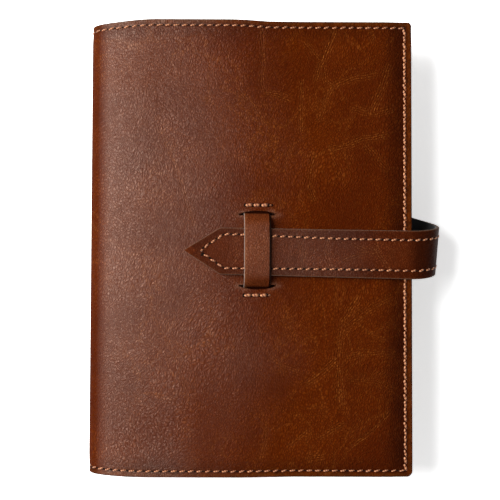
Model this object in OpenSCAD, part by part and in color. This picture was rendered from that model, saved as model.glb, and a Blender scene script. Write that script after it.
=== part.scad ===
// Leather planner: a sewn slip-cover round an A5 insert, closed by a pointed strap under a keeper.
// It lies closed on its back cover. +X points to the fore-edge, +Y along the spine, +Z up.
// The origin is under the middle of the whole object, strap included. Lengths are in millimetres.

/* [Insert] */
// Width of the insert, from the outermost line of its card cover to its fore-edge
insert_w = 148; // [140:1:180]
// Length of the insert along its spine
insert_l = 210; // [180:1:250]
// Thickness of the page block near its spine
pages_t = 23; // [15:0.5:30]
// How far the card cover stands past the pages on three sides
card_overhang = 2; // [1:0.5:4]
// Gap between the page block and the outermost line of its card cover
pages_gap = 5.7; // [4.7:0.1:8]
// Thickness of the insert's card cover
card_t = 0.6; // [0.3:0.1:0.8]
// Thickness of the cloth tape over the glued edge of the pages
tape_t = 0.3; // [0.2:0.1:0.5]

/* [Cover] */
// Room in a sleeve between the card cover and the seam at the fore-edge
fore_room = 3.6; // [1:0.1:6]
// Room in a sleeve between the card cover and the seam at each end
end_room = 1.5; // [0.5:0.1:4]
// Thickness of the outer leather
leather_t = 1.6; // [1.2:0.1:2]
// Thickness of the lining behind the leather
lining_t = 0.7; // [0.5:0.1:1]
// Thickness of the sleeves that take the insert's covers
sleeve_t = 1; // [0.6:0.1:1.4]
// Width of each sleeve, from the fore-edge inwards
sleeve_w = 80; // [60:1:100]
// Width of the sewn border of a sleeve
seam_w = 4.5; // [3.6:0.1:6]
// Width over which the front bends down into the spine
front_round_w = 33; // [25:1:45]
// Height over which the front bends down to the spine's outermost line
front_rise = 12.6; // [9:0.2:14]
// Width over which the back bends up into the spine
back_round_w = 12; // [10:0.5:18]
// Height of the lower hinge line, where the back cover's leather starts to bend
low_hinge_z = 6; // [5:0.5:8]
// How much lower the front lies at the fore-edge than near the spine
fore_drop = 2; // [0.5:0.1:3]
// Where the front starts to fall away, measured from the spine
slope_start = 76; // [60:1:80]
// Width of the stretch that falls away
slope_w = 25; // [20:1:40]

/* [Strap] */
// Thickness of the strap's face leather
strap_face_t = 1.4; // [1:0.1:1.8]
// Thickness of the strap's lining
strap_lining_t = 0.6; // [0.4:0.1:1]
// Width of the strap where its point begins
strap_w = 22.2; // [16:0.2:26]
// Extra width of the strap at the fore-edge
strap_flare = 1; // [0:0.1:2]
// Distance from the strap's tip to the spine's outermost line
tip_inset = 48; // [40:1:60]
// Length of the strap's point
point_len = 17.2; // [10:0.2:22]
// Lengthwise place of the strap at its tip, from the middle of the cover
tip_y = -1.1; // [-4:0.1:4]
// Angle of the strap across the cover, clockwise seen from above
strap_turn = 1; // [0:0.1:2]
// How far the loop stands off before it turns round the fore-edge
loop_straight = 1.25; // [0.8:0.05:4]
// How far the strap drifts along the fore-edge as it goes down its loop
loop_drift = 8; // [0:0.5:10]
// How much further out the loop's upper side reaches, for each millimetre of width
loop_lean = 0.09; // [0:0.01:0.12]
// Length of the strap's root, sewn into the back cover's fore-edge
root_len = 12; // [8:0.5:20]
// Thickness of the root, pared down to lie in the seam
root_t = 0.6; // [0.4:0.1:0.6]

/* [Keeper] */
// Width of the keeper
keeper_w = 12.8; // [8:0.2:16]
// Thickness of the keeper
keeper_t = 1.3; // [0.9:0.1:1.6]
// Distance from the start of the falling stretch to the keeper
keeper_inset = 0.6; // [0:0.1:3]
// Lengthwise place of the keeper's middle, from the middle of the cover
keeper_y = -1.2; // [-4:0.1:4]
// Distance between the outer edges of the two slits
slit_span = 36.4; // [36:0.2:44]
// Opening of each slit
slit_gap = 1.5; // [1.4:0.1:2.5]
// How far each slit runs past the keeper's sides
slit_past = 3; // [1:0.5:4]
// Room between the strap's edge and the keeper's bend, on each side
keeper_room = 1.2; // [0.8:0.1:2]
// Length of the keeper's tabs under the leather, beyond the slits
tab_len = 7; // [6:0.5:10]
// Thickness of the keeper's tabs, pared down
tab_t = 0.8; // [0.5:0.1:0.9]

/* [Sewing] */
// Distance from the cover's edge to the middle of its row of stitches
border_inset = 3.1; // [2.4:0.1:4]
// Distance from the strap's edge to the middle of its row of stitches
strap_border = 2.9; // [2:0.1:4]
// Distance from the strap's tip to the apex of its stitching
arrow_inset = 7.6; // [6:0.2:12]
// Distance from each slit to the keeper's row of stitches
keeper_row_inset = 3.7; // [2.5:0.1:4.5]
// Width of a row of thread
thread_w = 0.8; // [0.5:0.1:1]
// How deep the thread is pulled into the leather
thread_sink = 0.25; // [0.1:0.05:0.4]
// How far the thread stands proud of the leather
thread_proud = 0.2; // [0.1:0.05:0.4]

/* [Clearances] */
// Air between pieces that move against each other
air = 0.3; // [0.2:0.05:0.5]
// Slip clearance of a piece in its sleeve, notch or recess
slip = 0.1; // [0.05:0.05:0.2]

/* [Hidden] */

// Steps in each bend of the covers and in the strap's loop
bend_steps = 9;
loop_steps = 22;
// Overshoot of a cutting shape past the face that it cuts
cut = 1;

// Depths of the layers below the outer leather, the same in front and back
lining_d = leather_t;
card_d = lining_d + lining_t;
card_end = card_d + insert_w;
pages_inset = card_d + pages_gap;
pages_end = card_end - card_overhang;
pages_l = insert_l - 2 * card_overhang;

// Closed cover: width from the outermost line of its spine to the fore-edge, and length
cover_w = card_end + fore_room + seam_w;
cover_l = insert_l + 2 * (end_room + seam_w);

sleeve_d = card_d + card_t + slip;
inner_d = sleeve_d + sleeve_t;

// Levels of the outer leather, and the height of the spine's outermost line
front_z = 2 * (card_d + card_t) + pages_t + air;
fore_z = front_z - fore_drop;
strap_t = strap_face_t + strap_lining_t;
keeper_inner_h = strap_t + 2 * air;
keeper_outer_h = keeper_inner_h + keeper_t;
spine_z = front_z - front_rise;
slope_end = slope_start + slope_w;
slope_deg = atan(fore_drop / slope_w);

// Hinge lines on the outer leather, as angles round each bend from the spine's outermost line.
// The upper one is placed so that the cover, once open by two right angles, lies on its keeper.
low_hinge_a = asin((spine_z - low_hinge_z) / spine_z);
low_hinge_s = back_round_w * (1 - cos(low_hinge_a));
open_sum = front_z + keeper_outer_h - low_hinge_z + low_hinge_s - spine_z - front_round_w;
high_hinge_a = atan2(front_round_w, front_rise)
    + asin(open_sum / sqrt(pow(front_round_w, 2) + pow(front_rise, 2)));

// Loop of the strap round the fore-edge, from its outer face
loop_top_z = fore_z + air + strap_t;
loop_low_z = leather_t + slip / 2;
loop_r = (loop_top_z - loop_low_z) / 2;
loop_z = (loop_top_z + loop_low_z) / 2;
loop_s = cover_w + loop_straight;
loop_reach = loop_straight + loop_r + loop_lean * (strap_w + strap_flare) / 2;
shoulder_s = tip_inset + point_len;
tip_half = 0.5;

// X of the spine's outermost line, which centres the whole object on the origin
spine_x = -(cover_w + loop_reach) / 2;
sleeve_start = cover_w - sleeve_w;
border_y = cover_l / 2 - border_inset;
// The strap's place along the fore-edge once it has gone round the loop
root_y = strap_middle(cover_w) + loop_drift;

// Height of the front's outer face at a distance s from the spine, right of its bend
function front_face(s) = s < slope_start ? front_z
    : s < slope_end ? front_z - (s - slope_start) * fore_drop / slope_w : fore_z;

// Section line of the front at depth d, from s0 to s1, right of its bend
function front_run(d, s0, s1) = [for (s = [s0, slope_start, slope_end, s1])
    if (s == s0 || s == s1 || (s > s0 && s < s1)) [s, front_face(s) - d]];

// Points of each bend at depth d, at an angle up or down from the spine's outermost line
function front_point(d, a) = [front_round_w - (front_round_w - d) * cos(a),
    spine_z + (front_rise - d) * sin(a)];
function back_point(d, a) = [back_round_w - (back_round_w - d) * cos(a),
    spine_z - (spine_z - d) * sin(a)];

// Angles from one value towards another, without the last
function angles(from, to) = [for (i = [0:bend_steps - 1]) from + (to - from) * i / bend_steps];

// Section lines at depth d: the front from the upper hinge line, the back from the lower one,
// and the spine between the two
function front_line(d, s1) = concat([for (a = angles(high_hinge_a, 90)) front_point(d, a)],
    front_run(d, front_round_w, s1));
function back_line(d, s1) = concat([for (a = angles(low_hinge_a, 90)) back_point(d, a)],
    [[back_round_w, d], [s1, d]]);
function spine_line(d) = concat([for (a = angles(low_hinge_a, 0)) back_point(d, a)],
    [for (a = angles(0, high_hinge_a)) front_point(d, a)], [front_point(d, high_hinge_a)]);
function backwards(list) = [for (i = [len(list) - 1:-1:0]) list[i]];

// Middle of the strap along the cover's length, and half its width, at a distance s from the spine
function strap_middle(s) = tip_y - (s - tip_inset) * tan(strap_turn);
function strap_half(s) = s < shoulder_s
    ? tip_half + (strap_w / 2 - tip_half) * (s - tip_inset) / point_len
    : strap_w / 2 + strap_flare / 2 * (s - shoulder_s) / (cover_w - shoulder_s);
// Half the distance between the strap's two rows of stitches, and between their lines at the point
function row_half(s) = min(strap_w / 2 - strap_border,
    thread_w + (s - tip_inset - arrow_inset) * (strap_w / 2 - strap_border) / (point_len - arrow_inset));

// Stations of the strap's outer face: s, z, inward direction, how far round the loop, half width
function strap_top(starts) = [for (s = starts)
    [s, front_face(s) + air + strap_t, 0, -1, 0, strap_half(min(s, cover_w))]];
strap_loop = [for (i = [1:loop_steps]) let (a = 180 * i / loop_steps)
    [loop_s + loop_r * sin(a), loop_z + loop_r * cos(a), -sin(a), -cos(a), i / loop_steps,
     strap_half(cover_w)]];
face_starts = [tip_inset, (tip_inset + shoulder_s) / 2, shoulder_s, slope_start, slope_end,
    (slope_end + cover_w) / 2, loop_s];
row_starts = [tip_inset + arrow_inset, shoulder_s, slope_start, slope_end, loop_s];
thread_loop = [for (i = [0:loop_steps - 4]) strap_loop[i]];

// Corner of a strap section: station, depth below the outer face, lateral place
function strap_point(st, d, v) = [
    spine_x + st[0] + d * st[2] + loop_lean * v * sin(180 * st[4]),
    (st[4] > 0 ? strap_middle(cover_w) + loop_drift * pow(st[4], 1.6) : strap_middle(st[0])) + v,
    st[1] + d * st[3]];

module section(points, length) {
    translate([spine_x, 0, 0]) rotate([90, 0, 0]) linear_extrude(height = length, center = true)
        polygon(points);
}

module front_layer(d0, d1, s1, length) {
    section(concat(front_line(d0, s1), backwards(front_line(d1, s1))), length);
}

module back_layer(d0, d1, s1, length) {
    section(concat(back_line(d0, s1), backwards(back_line(d1, s1))), length);
}

module spine_layer(d0, d1, length) {
    section(concat(spine_line(d0), backwards(spine_line(d1))), length);
}

// A row of thread along the two ends and the fore-edge, between two depths of the front
module front_rows(d0, d1) {
    for (side = [-1, 1]) translate([0, side * border_y, 0])
        front_layer(d0, d1, cover_w - border_inset, thread_w);
    fore_row(fore_z - d1, d1 - d0);
}

module back_rows(d0, d1) {
    for (side = [-1, 1]) translate([0, side * border_y, 0])
        back_layer(d0, d1, cover_w - border_inset, thread_w);
    fore_row(d0, d1 - d0);
}

module spine_rows(d0, d1) {
    for (side = [-1, 1]) translate([0, side * border_y, 0]) spine_layer(d0, d1, thread_w);
}

module fore_row(z, height) {
    translate([spine_x + cover_w - border_inset - thread_w / 2, -border_y - thread_w / 2, z])
        cube([thread_w, 2 * border_y + thread_w, height]);
}

// Puts its children on the falling stretch of the front, with Z square to the leather
module on_slope() {
    translate([spine_x + slope_start, keeper_y, front_z]) rotate([0, slope_deg, 0]) children();
}

// A block on the falling stretch beyond one slit: side, y and z limits, margin past the keeper's sides
module slope_block(side, y0, y1, z0, z1, past) {
    on_slope() translate([keeper_inset - past, side > 0 ? y0 : -y1, z0])
        cube([keeper_w + 2 * past, y1 - y0, z1 - z0]);
}

module front_cover() {
    color("saddlebrown") difference() {
        front_layer(0, leather_t, cover_w, cover_l);
        front_rows(-cut, thread_sink);
        for (side = [-1, 1]) {
            slope_block(side, slit_span / 2 - slit_gap, slit_span / 2, -leather_t - cut, cut, slit_past);
            slope_block(side, slit_span / 2 - slit_gap, slit_span / 2 + tab_len + slip,
                -leather_t - cut, tab_floor + tab_t + slip / 2, slip);
            slope_block(side, slit_span / 2 + keeper_row_inset - thread_w / 2,
                slit_span / 2 + keeper_row_inset + thread_w / 2, -thread_sink, cut, 0);
        }
    }
}

module front_lining() {
    color("dimgray") front_layer(lining_d, card_d, cover_w, cover_l);
}

// One sleeve's outline in plan: all of it, or only the border that is sewn down
module sleeve_plan(sewn_only) {
    translate([spine_x + sleeve_start, -cover_l / 2]) difference() {
        square([sleeve_w, cover_l]);
        if (sewn_only) translate([-cut, seam_w])
            square([sleeve_w + cut - seam_w, cover_l - 2 * seam_w]);
    }
}

module front_sleeve_slab(d0, d1) {
    section(concat(front_run(d0, sleeve_start, cover_w), backwards(front_run(d1, sleeve_start, cover_w))),
        cover_l);
}

module front_sleeve() {
    color("sienna") union() {
        front_sleeve_slab(sleeve_d, inner_d);
        intersection() {
            front_sleeve_slab(card_d, sleeve_d);
            linear_extrude(height = front_z) sleeve_plan(true);
        }
    }
}

module front_edge_thread() {
    color("peru") front_rows(-thread_proud, thread_sink);
}

// Where the keeper's arch ends, and the outer and inner faces of its legs in the slits
arch_half = strap_w / 2 + keeper_room;
leg_out = slit_span / 2 - slip;
leg_in = slit_span / 2 - slit_gap + slip;
leg_t = leg_out - leg_in;
// Underside of the falling leather, measured square to it, where the tabs lie on the lining
tab_floor = slip / 2 - leather_t * cos(slope_deg);
tab_end = slit_span / 2 + tab_len;

// Half of the keeper's section along the cover, from its arch down through a slit to its tab
function keeper_half(side) = [for (p = [[arch_half, keeper_outer_h],
    [leg_out - leg_t / 2, keeper_outer_h / 2], [leg_out, keeper_outer_h / 4],
    [leg_out, tab_floor + tab_t], [tab_end, tab_floor + tab_t], [tab_end, tab_floor],
    [leg_in, tab_floor], [leg_in, air], [leg_in - leg_t / 2, keeper_inner_h / 3],
    [arch_half, keeper_inner_h]]) [side * p[0], p[1]]];

module keeper() {
    color("saddlebrown") on_slope() translate([keeper_inset + keeper_w, 0, 0]) rotate([90, 0, -90])
        linear_extrude(height = keeper_w)
        polygon(concat(keeper_half(1), backwards(keeper_half(-1))));
}

module keeper_thread() {
    color("peru") for (side = [-1, 1])
        slope_block(side, slit_span / 2 + keeper_row_inset - thread_w / 2,
            slit_span / 2 + keeper_row_inset + thread_w / 2, -thread_sink, thread_proud, 0);
}

module insert_front_cover() {
    color("tan") front_layer(card_d, card_d + card_t, card_end, insert_l);
}

module spine_cover() {
    color("saddlebrown") difference() {
        spine_layer(0, leather_t, cover_l);
        spine_rows(-cut, thread_sink);
    }
}

module spine_lining() {
    color("dimgray") spine_layer(lining_d, card_d, cover_l);
}

module spine_edge_thread() {
    color("peru") spine_rows(0, thread_sink);
}

module insert_spine_cover() {
    color("tan") spine_layer(card_d, card_d + card_t, insert_l);
}

module back_cover() {
    color("saddlebrown") difference() {
        back_layer(0, leather_t, cover_w, cover_l);
        back_rows(-cut, thread_sink);
    }
}

module back_lining() {
    color("dimgray") difference() {
        back_layer(lining_d, card_d, cover_w, cover_l);
        translate([spine_x + cover_w - root_len - slip, root_y - strap_half(cover_w) - slip, 0])
            cube([root_len + slip + cut, 2 * (strap_half(cover_w) + slip), front_z]);
    }
}

module back_sleeve() {
    color("sienna") union() {
        translate([0, 0, sleeve_d]) linear_extrude(height = sleeve_t) sleeve_plan(false);
        translate([0, 0, card_d]) linear_extrude(height = sleeve_d - card_d) sleeve_plan(true);
    }
}

module back_edge_thread() {
    color("peru") back_rows(0, thread_sink);
}

module insert_back_cover() {
    color("tan") back_layer(card_d, card_d + card_t, card_end, insert_l);
}

// Depth of the pages' top below the front's outer face, clear of the card and of the sleeve
pages_d = card_d + card_t + air;
pages_d_fore = inner_d + air;
// Angles round the bends at which the pages start, just inside the card
pages_top_a = acos((front_round_w - pages_inset) / (front_round_w - pages_d));
pages_low_a = acos((back_round_w - pages_inset) / (back_round_w - card_d - card_t));
pages_top_left = front_point(pages_d, pages_top_a)[1];
pages_low_left = back_point(card_d + card_t, pages_low_a)[1] + slip;

module page_block() {
    color("ivory") section(concat(
        [[pages_inset, pages_low_left]], [for (a = angles(pages_top_a, 90)) front_point(pages_d, a)],
        front_run(pages_d, front_round_w, sleeve_start - air),
        front_run(pages_d_fore, sleeve_start - air, pages_end),
        [[pages_end, inner_d], [sleeve_start - air, inner_d], [sleeve_start - air, card_d + card_t],
         [back_round_w, card_d + card_t]]), pages_l);
}

module spine_tape() {
    color("darkslategray") section([[pages_inset - tape_t, pages_low_left + tape_t],
        [pages_inset - tape_t, pages_top_left - tape_t], [pages_inset, pages_top_left - tape_t],
        [pages_inset, pages_low_left + tape_t]], pages_l);
}

// Ribbon along the strap's path: stations, two depths, and the lateral limits at each station
module ribbon(stations, d0, d1, low, high) {
    n = len(stations);
    points = [for (i = [0:n - 1]) each [
        strap_point(stations[i], d0, high[i]), strap_point(stations[i], d0, low[i]),
        strap_point(stations[i], d1, low[i]), strap_point(stations[i], d1, high[i])]];
    walls = [for (i = [0:n - 2]) for (k = [0:3]) let (a = 4 * i + k, b = 4 * i + (k + 1) % 4)
        each (k == 0 ? [[a + 4, b, a], [a + 4, b + 4, b]] : [[b + 4, b, a], [a + 4, b + 4, a]])];
    polyhedron(points, concat([[0, 1, 2], [0, 2, 3]], walls,
        [[4 * n - 2, 4 * n - 3, 4 * n - 4], [4 * n - 1, 4 * n - 2, 4 * n - 4]]));
}

module strap() {
    run = concat(strap_top(face_starts), strap_loop);
    half = [for (st = run) st[5]];
    color("sienna") union() {
        ribbon(run, 0, strap_face_t, -half, half);
        translate([spine_x + cover_w - root_len, root_y - strap_half(cover_w), loop_low_z])
            cube([root_len + loop_straight + slip, 2 * strap_half(cover_w), root_t]);
    }
}

module strap_lining() {
    run = concat(strap_top(face_starts), strap_loop);
    half = [for (st = run) st[5]];
    color("black") ribbon(run, strap_face_t, strap_t, -half, half);
}

module strap_thread() {
    run = concat(strap_top(row_starts), thread_loop);
    for (side = [-1, 1]) {
        near = [for (st = run) side * row_half(st[0]) - thread_w / 2];
        far = [for (st = run) side * row_half(st[0]) + thread_w / 2];
        color("peru") ribbon(run, -thread_proud, 0, near, far);
    }
}

front_cover();
front_lining();
front_sleeve();
front_edge_thread();
keeper();
keeper_thread();
insert_front_cover();
spine_cover();
spine_lining();
spine_edge_thread();
insert_spine_cover();
back_cover();
back_lining();
back_sleeve();
back_edge_thread();
insert_back_cover();
page_block();
spine_tape();
strap();
strap_lining();
strap_thread();
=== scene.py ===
"""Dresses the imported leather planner: pull-up leather, sewing, lining, pages, studio and camera.

Sizes are in millimetres, with the names that the part's source uses. s is the distance from the
outermost line of the spine, towards the fore-edge. Depth grows from the outer leather inwards.
"""

from __future__ import annotations

import logging
import math
from dataclasses import dataclass, field
from enum import Enum
from functools import partial, reduce
from typing import Callable, Sequence

import bpy
import numpy as np
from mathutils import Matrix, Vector

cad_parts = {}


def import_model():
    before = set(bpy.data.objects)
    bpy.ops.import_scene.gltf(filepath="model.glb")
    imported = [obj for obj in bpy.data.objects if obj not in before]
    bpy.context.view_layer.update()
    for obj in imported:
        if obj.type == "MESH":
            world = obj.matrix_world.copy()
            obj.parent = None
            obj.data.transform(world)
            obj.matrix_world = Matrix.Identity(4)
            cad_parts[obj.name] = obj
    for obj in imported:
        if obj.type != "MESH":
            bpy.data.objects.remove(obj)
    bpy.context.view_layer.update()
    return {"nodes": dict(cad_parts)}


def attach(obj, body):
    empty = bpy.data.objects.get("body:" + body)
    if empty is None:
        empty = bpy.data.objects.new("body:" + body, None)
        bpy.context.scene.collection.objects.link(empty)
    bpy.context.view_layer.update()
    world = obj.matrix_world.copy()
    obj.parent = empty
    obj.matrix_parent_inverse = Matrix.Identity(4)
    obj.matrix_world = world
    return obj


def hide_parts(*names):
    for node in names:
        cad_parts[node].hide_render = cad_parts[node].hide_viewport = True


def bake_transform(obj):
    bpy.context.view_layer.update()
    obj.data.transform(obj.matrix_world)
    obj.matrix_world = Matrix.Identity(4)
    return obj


LOG = logging.getLogger("leather_planner")
MM = 0.001
CLEAR_SHARE = 0.35
SHARP = 38.0

Point = tuple[float, float, float]
Rgb = tuple[float, float, float]
Table = tuple[tuple[float, float], ...]
Crease = tuple[float, float, Table]
Grids = tuple[np.ndarray, np.ndarray]
Material = bpy.types.Material
Node = bpy.types.Node
Piece = bpy.types.Object
Socket = bpy.types.NodeSocket
Sockets = bpy.types.bpy_prop_collection
Tree = bpy.types.NodeTree
Settle = Callable[[Piece], object]


class Side(Enum):
    """The two covers, each with its half of the spine's bend."""

    FRONT = "front"
    BACK = "back"


class RowShape(Enum):
    """What repeats along a row of sewing."""

    BIT = "bit"
    HOLE = "hole"


# ---- sizes


@dataclass(frozen=True)
class PlannerSizes:
    """Driving sizes of the planner, the same as in the part's source."""

    insert_w: float = 148.0
    insert_l: float = 210.0
    pages_t: float = 23.0
    card_overhang: float = 2.0
    pages_gap: float = 5.7
    card_t: float = 0.6
    fore_room: float = 3.6
    end_room: float = 1.5
    leather_t: float = 1.6
    lining_t: float = 0.7
    sleeve_t: float = 1.0
    sleeve_w: float = 80.0
    seam_w: float = 4.5
    front_round_w: float = 33.0
    front_rise: float = 12.6
    back_round_w: float = 12.0
    fore_drop: float = 2.0
    slope_start: float = 76.0
    slope_w: float = 25.0
    strap_face_t: float = 1.4
    strap_lining_t: float = 0.6
    strap_w: float = 22.2
    strap_flare: float = 1.0
    tip_inset: float = 48.0
    point_len: float = 17.2
    tip_y: float = -1.1
    strap_turn: float = 1.0
    loop_straight: float = 1.25
    loop_drift: float = 8.0
    loop_lean: float = 0.09
    root_len: float = 12.0
    root_t: float = 0.6
    keeper_w: float = 12.8
    keeper_t: float = 1.3
    keeper_inset: float = 0.6
    keeper_y: float = -1.2
    slit_span: float = 36.4
    slit_gap: float = 1.5
    slit_past: float = 3.0
    keeper_room: float = 1.2
    tab_len: float = 7.0
    tab_t: float = 0.8
    border_inset: float = 3.1
    strap_border: float = 2.9
    keeper_row_inset: float = 3.7
    air: float = 0.3
    slip: float = 0.1

    @property
    def card_d(self) -> float:
        """Depth of the insert's card cover."""
        return self.leather_t + self.lining_t

    @property
    def sleeve_d(self) -> float:
        """Depth of the sleeves' face against the card."""
        return self.card_d + self.card_t + self.slip

    @property
    def inner_d(self) -> float:
        """Depth of the sleeves' face against the pages."""
        return self.sleeve_d + self.sleeve_t

    @property
    def card_end(self) -> float:
        """Fore-edge of the insert's card cover."""
        return self.card_d + self.insert_w

    @property
    def pages_inset(self) -> float:
        """Where the page block starts."""
        return self.card_d + self.pages_gap

    @property
    def pages_end(self) -> float:
        """Fore-edge of the page block."""
        return self.card_end - self.card_overhang

    @property
    def pages_l(self) -> float:
        """Length of the page block."""
        return self.insert_l - 2 * self.card_overhang

    @property
    def cover_w(self) -> float:
        """Width of the closed cover."""
        return self.card_end + self.fore_room + self.seam_w

    @property
    def cover_l(self) -> float:
        """Length of the cover."""
        return self.insert_l + 2 * (self.end_room + self.seam_w)

    @property
    def front_z(self) -> float:
        """Height of the front's outer face near the spine."""
        return 2 * (self.card_d + self.card_t) + self.pages_t + self.air

    @property
    def fore_z(self) -> float:
        """Height of the front's outer face at the fore-edge."""
        return self.front_z - self.fore_drop

    @property
    def spine_z(self) -> float:
        """Height of the spine's outermost line."""
        return self.front_z - self.front_rise

    @property
    def slope_angle(self) -> float:
        """Angle of the falling stretch, in radians."""
        return math.atan2(self.fore_drop, self.slope_w)

    @property
    def strap_t(self) -> float:
        """Thickness of the strap with its lining."""
        return self.strap_face_t + self.strap_lining_t

    @property
    def loop_low_z(self) -> float:
        """Height of the strap's outer face at the bottom of its loop."""
        return self.leather_t + self.slip / 2

    @property
    def loop_r(self) -> float:
        """Radius of the strap's loop at its outer face."""
        return (self.fore_z + self.air + self.strap_t - self.loop_low_z) / 2

    @property
    def loop_z(self) -> float:
        """Height of the middle of the strap's loop."""
        return self.loop_low_z + self.loop_r

    @property
    def loop_s(self) -> float:
        """Where the strap starts to turn round the fore-edge."""
        return self.cover_w + self.loop_straight

    @property
    def shoulder_s(self) -> float:
        """Where the strap's point has reached its full width."""
        return self.tip_inset + self.point_len

    @property
    def spine_x(self) -> float:
        """X of the spine's outermost line."""
        lean = self.loop_lean * (self.strap_w + self.strap_flare) / 2
        return -(self.cover_w + (self.loop_straight + self.loop_r + lean)) / 2

    @property
    def sleeve_start(self) -> float:
        """Open edge of the sleeves."""
        return self.cover_w - self.sleeve_w

    def front_face(self, s: np.ndarray | float) -> np.ndarray:
        """Height of the front's outer face right of its bend, with its two ridges rounded by hand wear.

        Args:
            s: distance from the spine.

        Returns:
            The height at each distance.
        """
        spread = np.linspace(-3.5, 3.5, 8)[:, None]
        fall = np.clip((np.atleast_1d(s)[None, :] + spread - self.slope_start) / self.slope_w, 0, 1)
        return self.front_z - self.fore_drop * fall.mean(0)

    def strap_middle(self, s: np.ndarray | float) -> np.ndarray | float:
        """Lengthwise place of the strap's middle at a distance s from the spine."""
        return self.tip_y - (s - self.tip_inset) * math.tan(math.radians(self.strap_turn))

    def strap_half(self, s: np.ndarray | float) -> np.ndarray:
        """Half the strap's width at a distance s from the spine.

        Args:
            s: distance from the spine.

        Returns:
            Half the width at each distance.
        """
        point = 0.5 + (self.strap_w / 2 - 0.5) * (s - self.tip_inset) / self.point_len
        flare = self.strap_flare / 2 * (s - self.shoulder_s) / (self.cover_w - self.shoulder_s)
        body = self.strap_w / 2 + flare
        return np.where(s < self.shoulder_s, point, body)


# ---- numbers and fields


def smooth(value: np.ndarray | float, low: float, high: float) -> np.ndarray:
    """Smooth step from 0 at low to 1 at high, which may be the smaller one."""
    t = np.clip((np.asarray(value, float) - low) / (high - low), 0, 1)
    return t * t * (3 - 2 * t)


def bell(distance: np.ndarray, width: float) -> np.ndarray:
    """A bell curve that is 1 where the distance is 0."""
    return np.exp(-((distance / width) ** 2))


def look_up(places: np.ndarray, table: Table) -> np.ndarray:
    """Values at places, between the pairs of place and value in a table."""
    return np.interp(places, *zip(*table))


def run_of(points: np.ndarray) -> np.ndarray:
    """Length of a line up to each of its points."""
    return np.concatenate([[0], np.cumsum(np.linalg.norm(np.diff(points, axis=0), axis=1))])


def with_marks(even: np.ndarray, marks: Sequence[float], step: float) -> np.ndarray:
    """Even places with marks among them; a place close to a mark makes way for it.

    Args:
        even: the even places, in order.
        marks: places that are wanted; those past the ends are left out.
        step: usual distance between two places.

    Returns:
        The places in order.
    """
    inside = np.array([mark for mark in marks if even[0] < mark < even[-1]], float)
    if inside.size:
        last = len(even) - 1
        clear = [np.abs(inside - place).min() > CLEAR_SHARE * step for place in even]
        even = even[[i in (0, last) or free for i, free in enumerate(clear)]]
    return np.unique(np.concatenate([even, inside]))


def rounded_edge(distance: np.ndarray, radius: float) -> np.ndarray:
    """How far a rounded edge falls away, at a distance from that edge."""
    inside = np.clip(radius - distance, 0, radius)
    return radius - np.sqrt(radius**2 - inside**2)


def ripple(u: np.ndarray, v: np.ndarray, longest: float, shortest: float, seed: int) -> np.ndarray:
    """A soft uneven field, from about -1 to 1.

    Args:
        u: first coordinates in millimetres.
        v: second coordinates in millimetres.
        longest: longest wave in millimetres.
        shortest: shortest wave in millimetres.
        seed: seed of the waves' directions.

    Returns:
        The field at each point.
    """
    rng = np.random.default_rng(seed)
    total, weight = np.zeros(np.broadcast(u, v).shape), 0.0
    for wave in np.geomspace(longest, shortest, 9):
        angle, phase = rng.uniform(0, math.pi), rng.uniform(0, 2 * math.pi)
        total += wave * np.sin(2 * math.pi * (u * math.cos(angle) + v * math.sin(angle)) / wave + phase)
        weight += wave
    return 2 * total / weight


# ---- section of the cover


@dataclass(frozen=True)
class Stations:
    """Lines across one cover, from the outermost line of the spine to the fore-edge."""

    base: np.ndarray
    inward: np.ndarray
    run: np.ndarray

    @property
    def s(self) -> np.ndarray:
        """Distance of each line from the spine."""
        return self.base[:, 0]


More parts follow.
